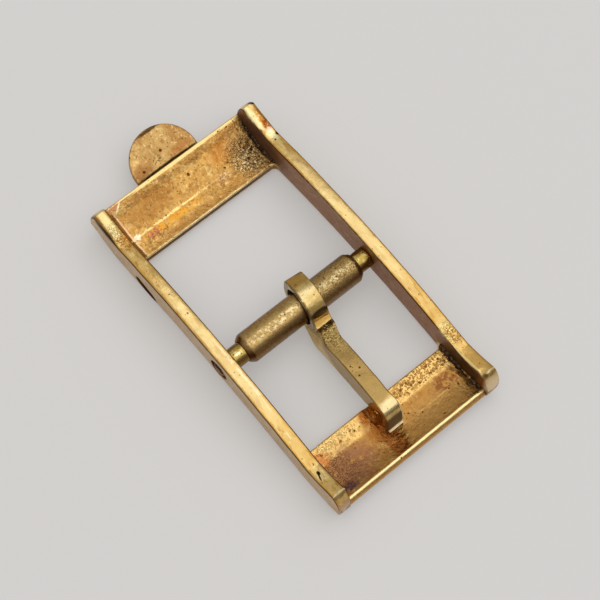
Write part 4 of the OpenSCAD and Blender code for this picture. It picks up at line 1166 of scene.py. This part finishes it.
# Geometry Nodes: turned lumps of random size at even steps along the corners, with a ragged surface
def solderTree():
    tree, start = newTree("solderAlongCorner", {
        "Corner": "Geometry", "Spacing": "Float", "Least": "Float", "Most": "Float", "Ragged": "Float",
        "Ragged Size": "Float", "Seed": "Int", "Finish": "Material"}, "Solder")
    path = addNode(tree, "GeometryNodeMeshToCurve", None, {"Mesh": start["Corner"]})
    spots = addNode(tree, "GeometryNodeCurveToPoints", {"mode": "LENGTH"}, {
        "Curve": path, "Length": start["Spacing"]})
    lump = addNode(tree, "GeometryNodeMeshIcoSphere", None, {"Radius": 1.0, "Subdivisions": 2})
    size = addNode(tree, "FunctionNodeRandomValue", {"data_type": "FLOAT"}, {
        2: start["Least"], 3: start["Most"], "Seed": start["Seed"]})
    turn = addNode(tree, "FunctionNodeRandomValue", {"data_type": "FLOAT_VECTOR"}, {
        0: (0.0, 0.0, 0.0), 1: (6.28, 6.28, 6.28), "Seed": start["Seed"]})
    thicker = addNode(tree, "GeometryNodeInputNamedAttribute", {"data_type": "FLOAT"}, {"Name": "thicker"})
    grown = addNode(tree, "ShaderNodeMath", times, {0: size.outputs[1], 1: thicker})
    put = addNode(tree, "GeometryNodeInstanceOnPoints", None, {
        "Points": spots.outputs["Points"], "Instance": lump, "Rotation": turn, "Scale": grown})
    real = addNode(tree, "GeometryNodeRealizeInstances", None, {"Geometry": put})
    scale = addNode(tree, "ShaderNodeMath", {"operation": "DIVIDE"}, {0: 1.0, 1: start["Ragged Size"]})
    rough = addNode(tree, "ShaderNodeTexNoise", None, {"Scale": scale, "Detail": 2.0})
    shake = addNode(tree, "ShaderNodeVectorMath", {"operation": "SUBTRACT"}, {
        0: rough.outputs["Color"], 1: (0.5, 0.5, 0.5)})
    shake = addNode(tree, "ShaderNodeVectorMath", {"operation": "SCALE"}, {
        0: shake, "Scale": start["Ragged"]})
    ragged = addNode(tree, "GeometryNodeSetPosition", None, {"Geometry": real, "Offset": shake})
    coated = addNode(tree, "GeometryNodeSetMaterial", None, {"Geometry": ragged, "Material": start["Finish"]})
    addNode(tree, "NodeGroupOutput", None, {"Solder": coated})
    return tree


def makeSolder(material):
    piece = newPiece("solder_seams_skin")
    s = solderBead
    verts, edges, swell = [], [], []
    for side in (-1, 1):
        for plate in (upperPlate, lowerPlate):
            ways = s["thicker"][(side, plate["side"])]
            first, last = halfLength - plate["length"] + s["windowGap"], halfLength - s["endGap"]
            for i, way in enumerate(evenly(0, 1, s["steps"])):
                y = first + way * (last - first)
                a, b = next((a, b) for a, b in zip(ways, ways[1:]) if way <= b[0])
                swell.append(a[1] + (b[1] - a[1]) * (way - a[0]) / (b[0] - a[0]))
                p = overFront(plate["side"] * y, buckle["plateThick"] + s["sunk"])
                verts.append(place(side * (innerX - s["sunk"]), p[0], p[1]))
                if i:
                    edges.append((len(verts) - 2, len(verts) - 1))
    piece.data.from_pydata(verts, edges, [])
    piece.data.attributes.new("thicker", "FLOAT", "POINT").data.foreach_set("value", swell)
    applyTree(piece, solderTree(), {
        "Spacing": s["spacing"] * mm, "Least": s["least"] * mm, "Most": s["most"] * mm,
        "Ragged": s["ragged"] * mm, "Ragged Size": s["raggedSize"] * mm, "Seed": s["seed"],
        "Finish": material})
    for face in piece.data.polygons:
        face.use_smooth = True
    fasten(piece, "frame", "dark_solder", "solder_seams")


# Old silver solder with burnt flux on it: nearly black lumps that shine dully, with small brassy spots
# painted as glints
solderLook = {
    "base": "#54402e", "rough": (0.28, 0.5), "polishSize": 0.2, "metallic": 0.85,
    # the light mottle is painted glints
    "mottles": [("#22180f", 0.3, 0.42, 0.6, 0.8), ("#d0a868", 0.12, 0.6, 0.68, 0.8)],
    # painted glint on the lump by the lower plate's right corner
    "stainsAndLight": [stainAndLight("#c99a58", (4.95, -9.45, 0.65), (0.3, 0.32, 0.4), ragged=0.1, amount=0.85)],
    "grain": [(0.06, 0.012)],
}
solderMetal = makeMetal("dullSolder", solderLook)
makeSolder(solderMetal)
coat(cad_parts["tab_solder"], solderMetal)        # the solder under the tab stays as the CAD has it
print("stage: solder")


# Floor, light and camera
studio = {
    "floorSize": 900.0, "floorColor": "#e2e0de", "floorGlow": "#d2d0ce", "glowShare": 0.4,
    "frontWall": "#87827d", "backWall": "#aaa59e", "overhead": "#e4e4e4",
    "softbox": {"position": (75, -40, 310), "size": 420.0, "power": 0.36},
}
photoView = {        # mm, degrees
    "position": (-23.29, -28.571, 94.741), "turn": (21.0706, -0.6002, -39.6849),
    "lens": 105.51, "sensor": 36.0, "nearest": 1.0, "farthest": 5000.0,
}


# Matt white card: it shows no shine, and the shadow on it is soft and faint
def makeFloor():
    floor = newPiece("paleFloor")
    h = studio["floorSize"] / 2 * mm
    floor.data.from_pydata([(-h, -h, 0), (h, -h, 0), (h, h, 0), (-h, h, 0)], [], [(0, 1, 2, 3)])
    material = bpy.data.materials.new("mattPaleCard")
    material.use_nodes = True
    tree = material.node_tree
    tree.nodes.clear()
    shader = addNode(tree, "ShaderNodeBsdfPrincipled", None, {
        "Base Color": hexColor(studio["floorColor"]), "Roughness": 0.9, "Specular IOR Level": 0.2})
    # eye and metal see part of the card's own pale colour, which keeps the shadow faint
    path = addNode(tree, "ShaderNodeLightPath").outputs
    seen = addNode(tree, "ShaderNodeMath", {"operation": "MAXIMUM"}, {
        0: path["Is Camera Ray"], 1: path["Is Glossy Ray"]})
    seen = addNode(tree, "ShaderNodeMath", {"operation": "MAXIMUM"}, {
        0: seen, 1: path["Is Transmission Ray"]})
    share = addNode(tree, "ShaderNodeMath", times, {0: seen, 1: studio["glowShare"]})
    glow = addNode(tree, "ShaderNodeEmission", None, {0: hexColor(studio["floorGlow"]), 1: 1.0})
    card = addNode(tree, "ShaderNodeMixShader", None, {0: share, 1: shader, 2: glow})
    addNode(tree, "ShaderNodeOutputMaterial", None, {0: card})
    coat(floor, material)


def makeSoftbox():
    box = studio["softbox"]
    lamp = bpy.data.lights.new("softboxAbove", "AREA")
    lamp.shape, lamp.size, lamp.energy = "SQUARE", box["size"] * mm, box["power"]
    holder = bpy.data.objects.new("softboxAbove", lamp)
    scene.collection.objects.link(holder)
    holder.location = Vector(box["position"]) * mm
    holder.rotation_euler = (-Vector(box["position"])).to_track_quat("-Z", "Y").to_euler()


def makeRoom():        # soft grey walls, a little lighter behind, under a pale ceiling
    world = bpy.data.worlds.new("paleRoom")
    scene.world = world
    world.use_nodes = True
    tree = world.node_tree
    tree.nodes.clear()
    toSky = addNode(tree, "ShaderNodeTexCoord").outputs["Generated"]
    facing = addNode(tree, "ShaderNodeSeparateXYZ", None, {0: toSky}).outputs
    turnBack = addNode(tree, "ShaderNodeMapRange", smoothStep, {
        "Value": facing["Y"], "From Min": -0.7, "From Max": 0.7})
    walls = addNode(tree, "ShaderNodeMix", {"data_type": "RGBA"}, {
        0: turnBack, 6: hexColor(studio["frontWall"]), 7: hexColor(studio["backWall"])}).outputs[2]
    rise = addNode(tree, "ShaderNodeMapRange", smoothStep, {
        "Value": facing["Z"], "From Min": 0.1, "From Max": 0.9})
    glow = addNode(tree, "ShaderNodeMix", {"data_type": "RGBA"}, {
        0: rise, 6: walls, 7: hexColor(studio["overhead"])}).outputs[2]
    sky = addNode(tree, "ShaderNodeBackground", None, {0: glow, 1: 1.0})
    addNode(tree, "ShaderNodeOutputWorld", None, {0: sky})


def makeCamera():
    camera = bpy.data.objects.new("photoCamera", bpy.data.cameras.new("photoCamera"))
    scene.collection.objects.link(camera)
    camera.data.lens, camera.data.sensor_width = photoView["lens"], photoView["sensor"]
    camera.data.clip_start, camera.data.clip_end = photoView["nearest"] * mm, photoView["farthest"] * mm
    camera.location = Vector(photoView["position"]) * mm
    camera.rotation_euler = [math.radians(a) for a in photoView["turn"]]
    return camera


makeFloor()
makeSoftbox()
makeRoom()
bpy.context.scene.camera = makeCamera()
scene.view_settings.view_transform = "Standard"
print("stage: floor, light and camera")
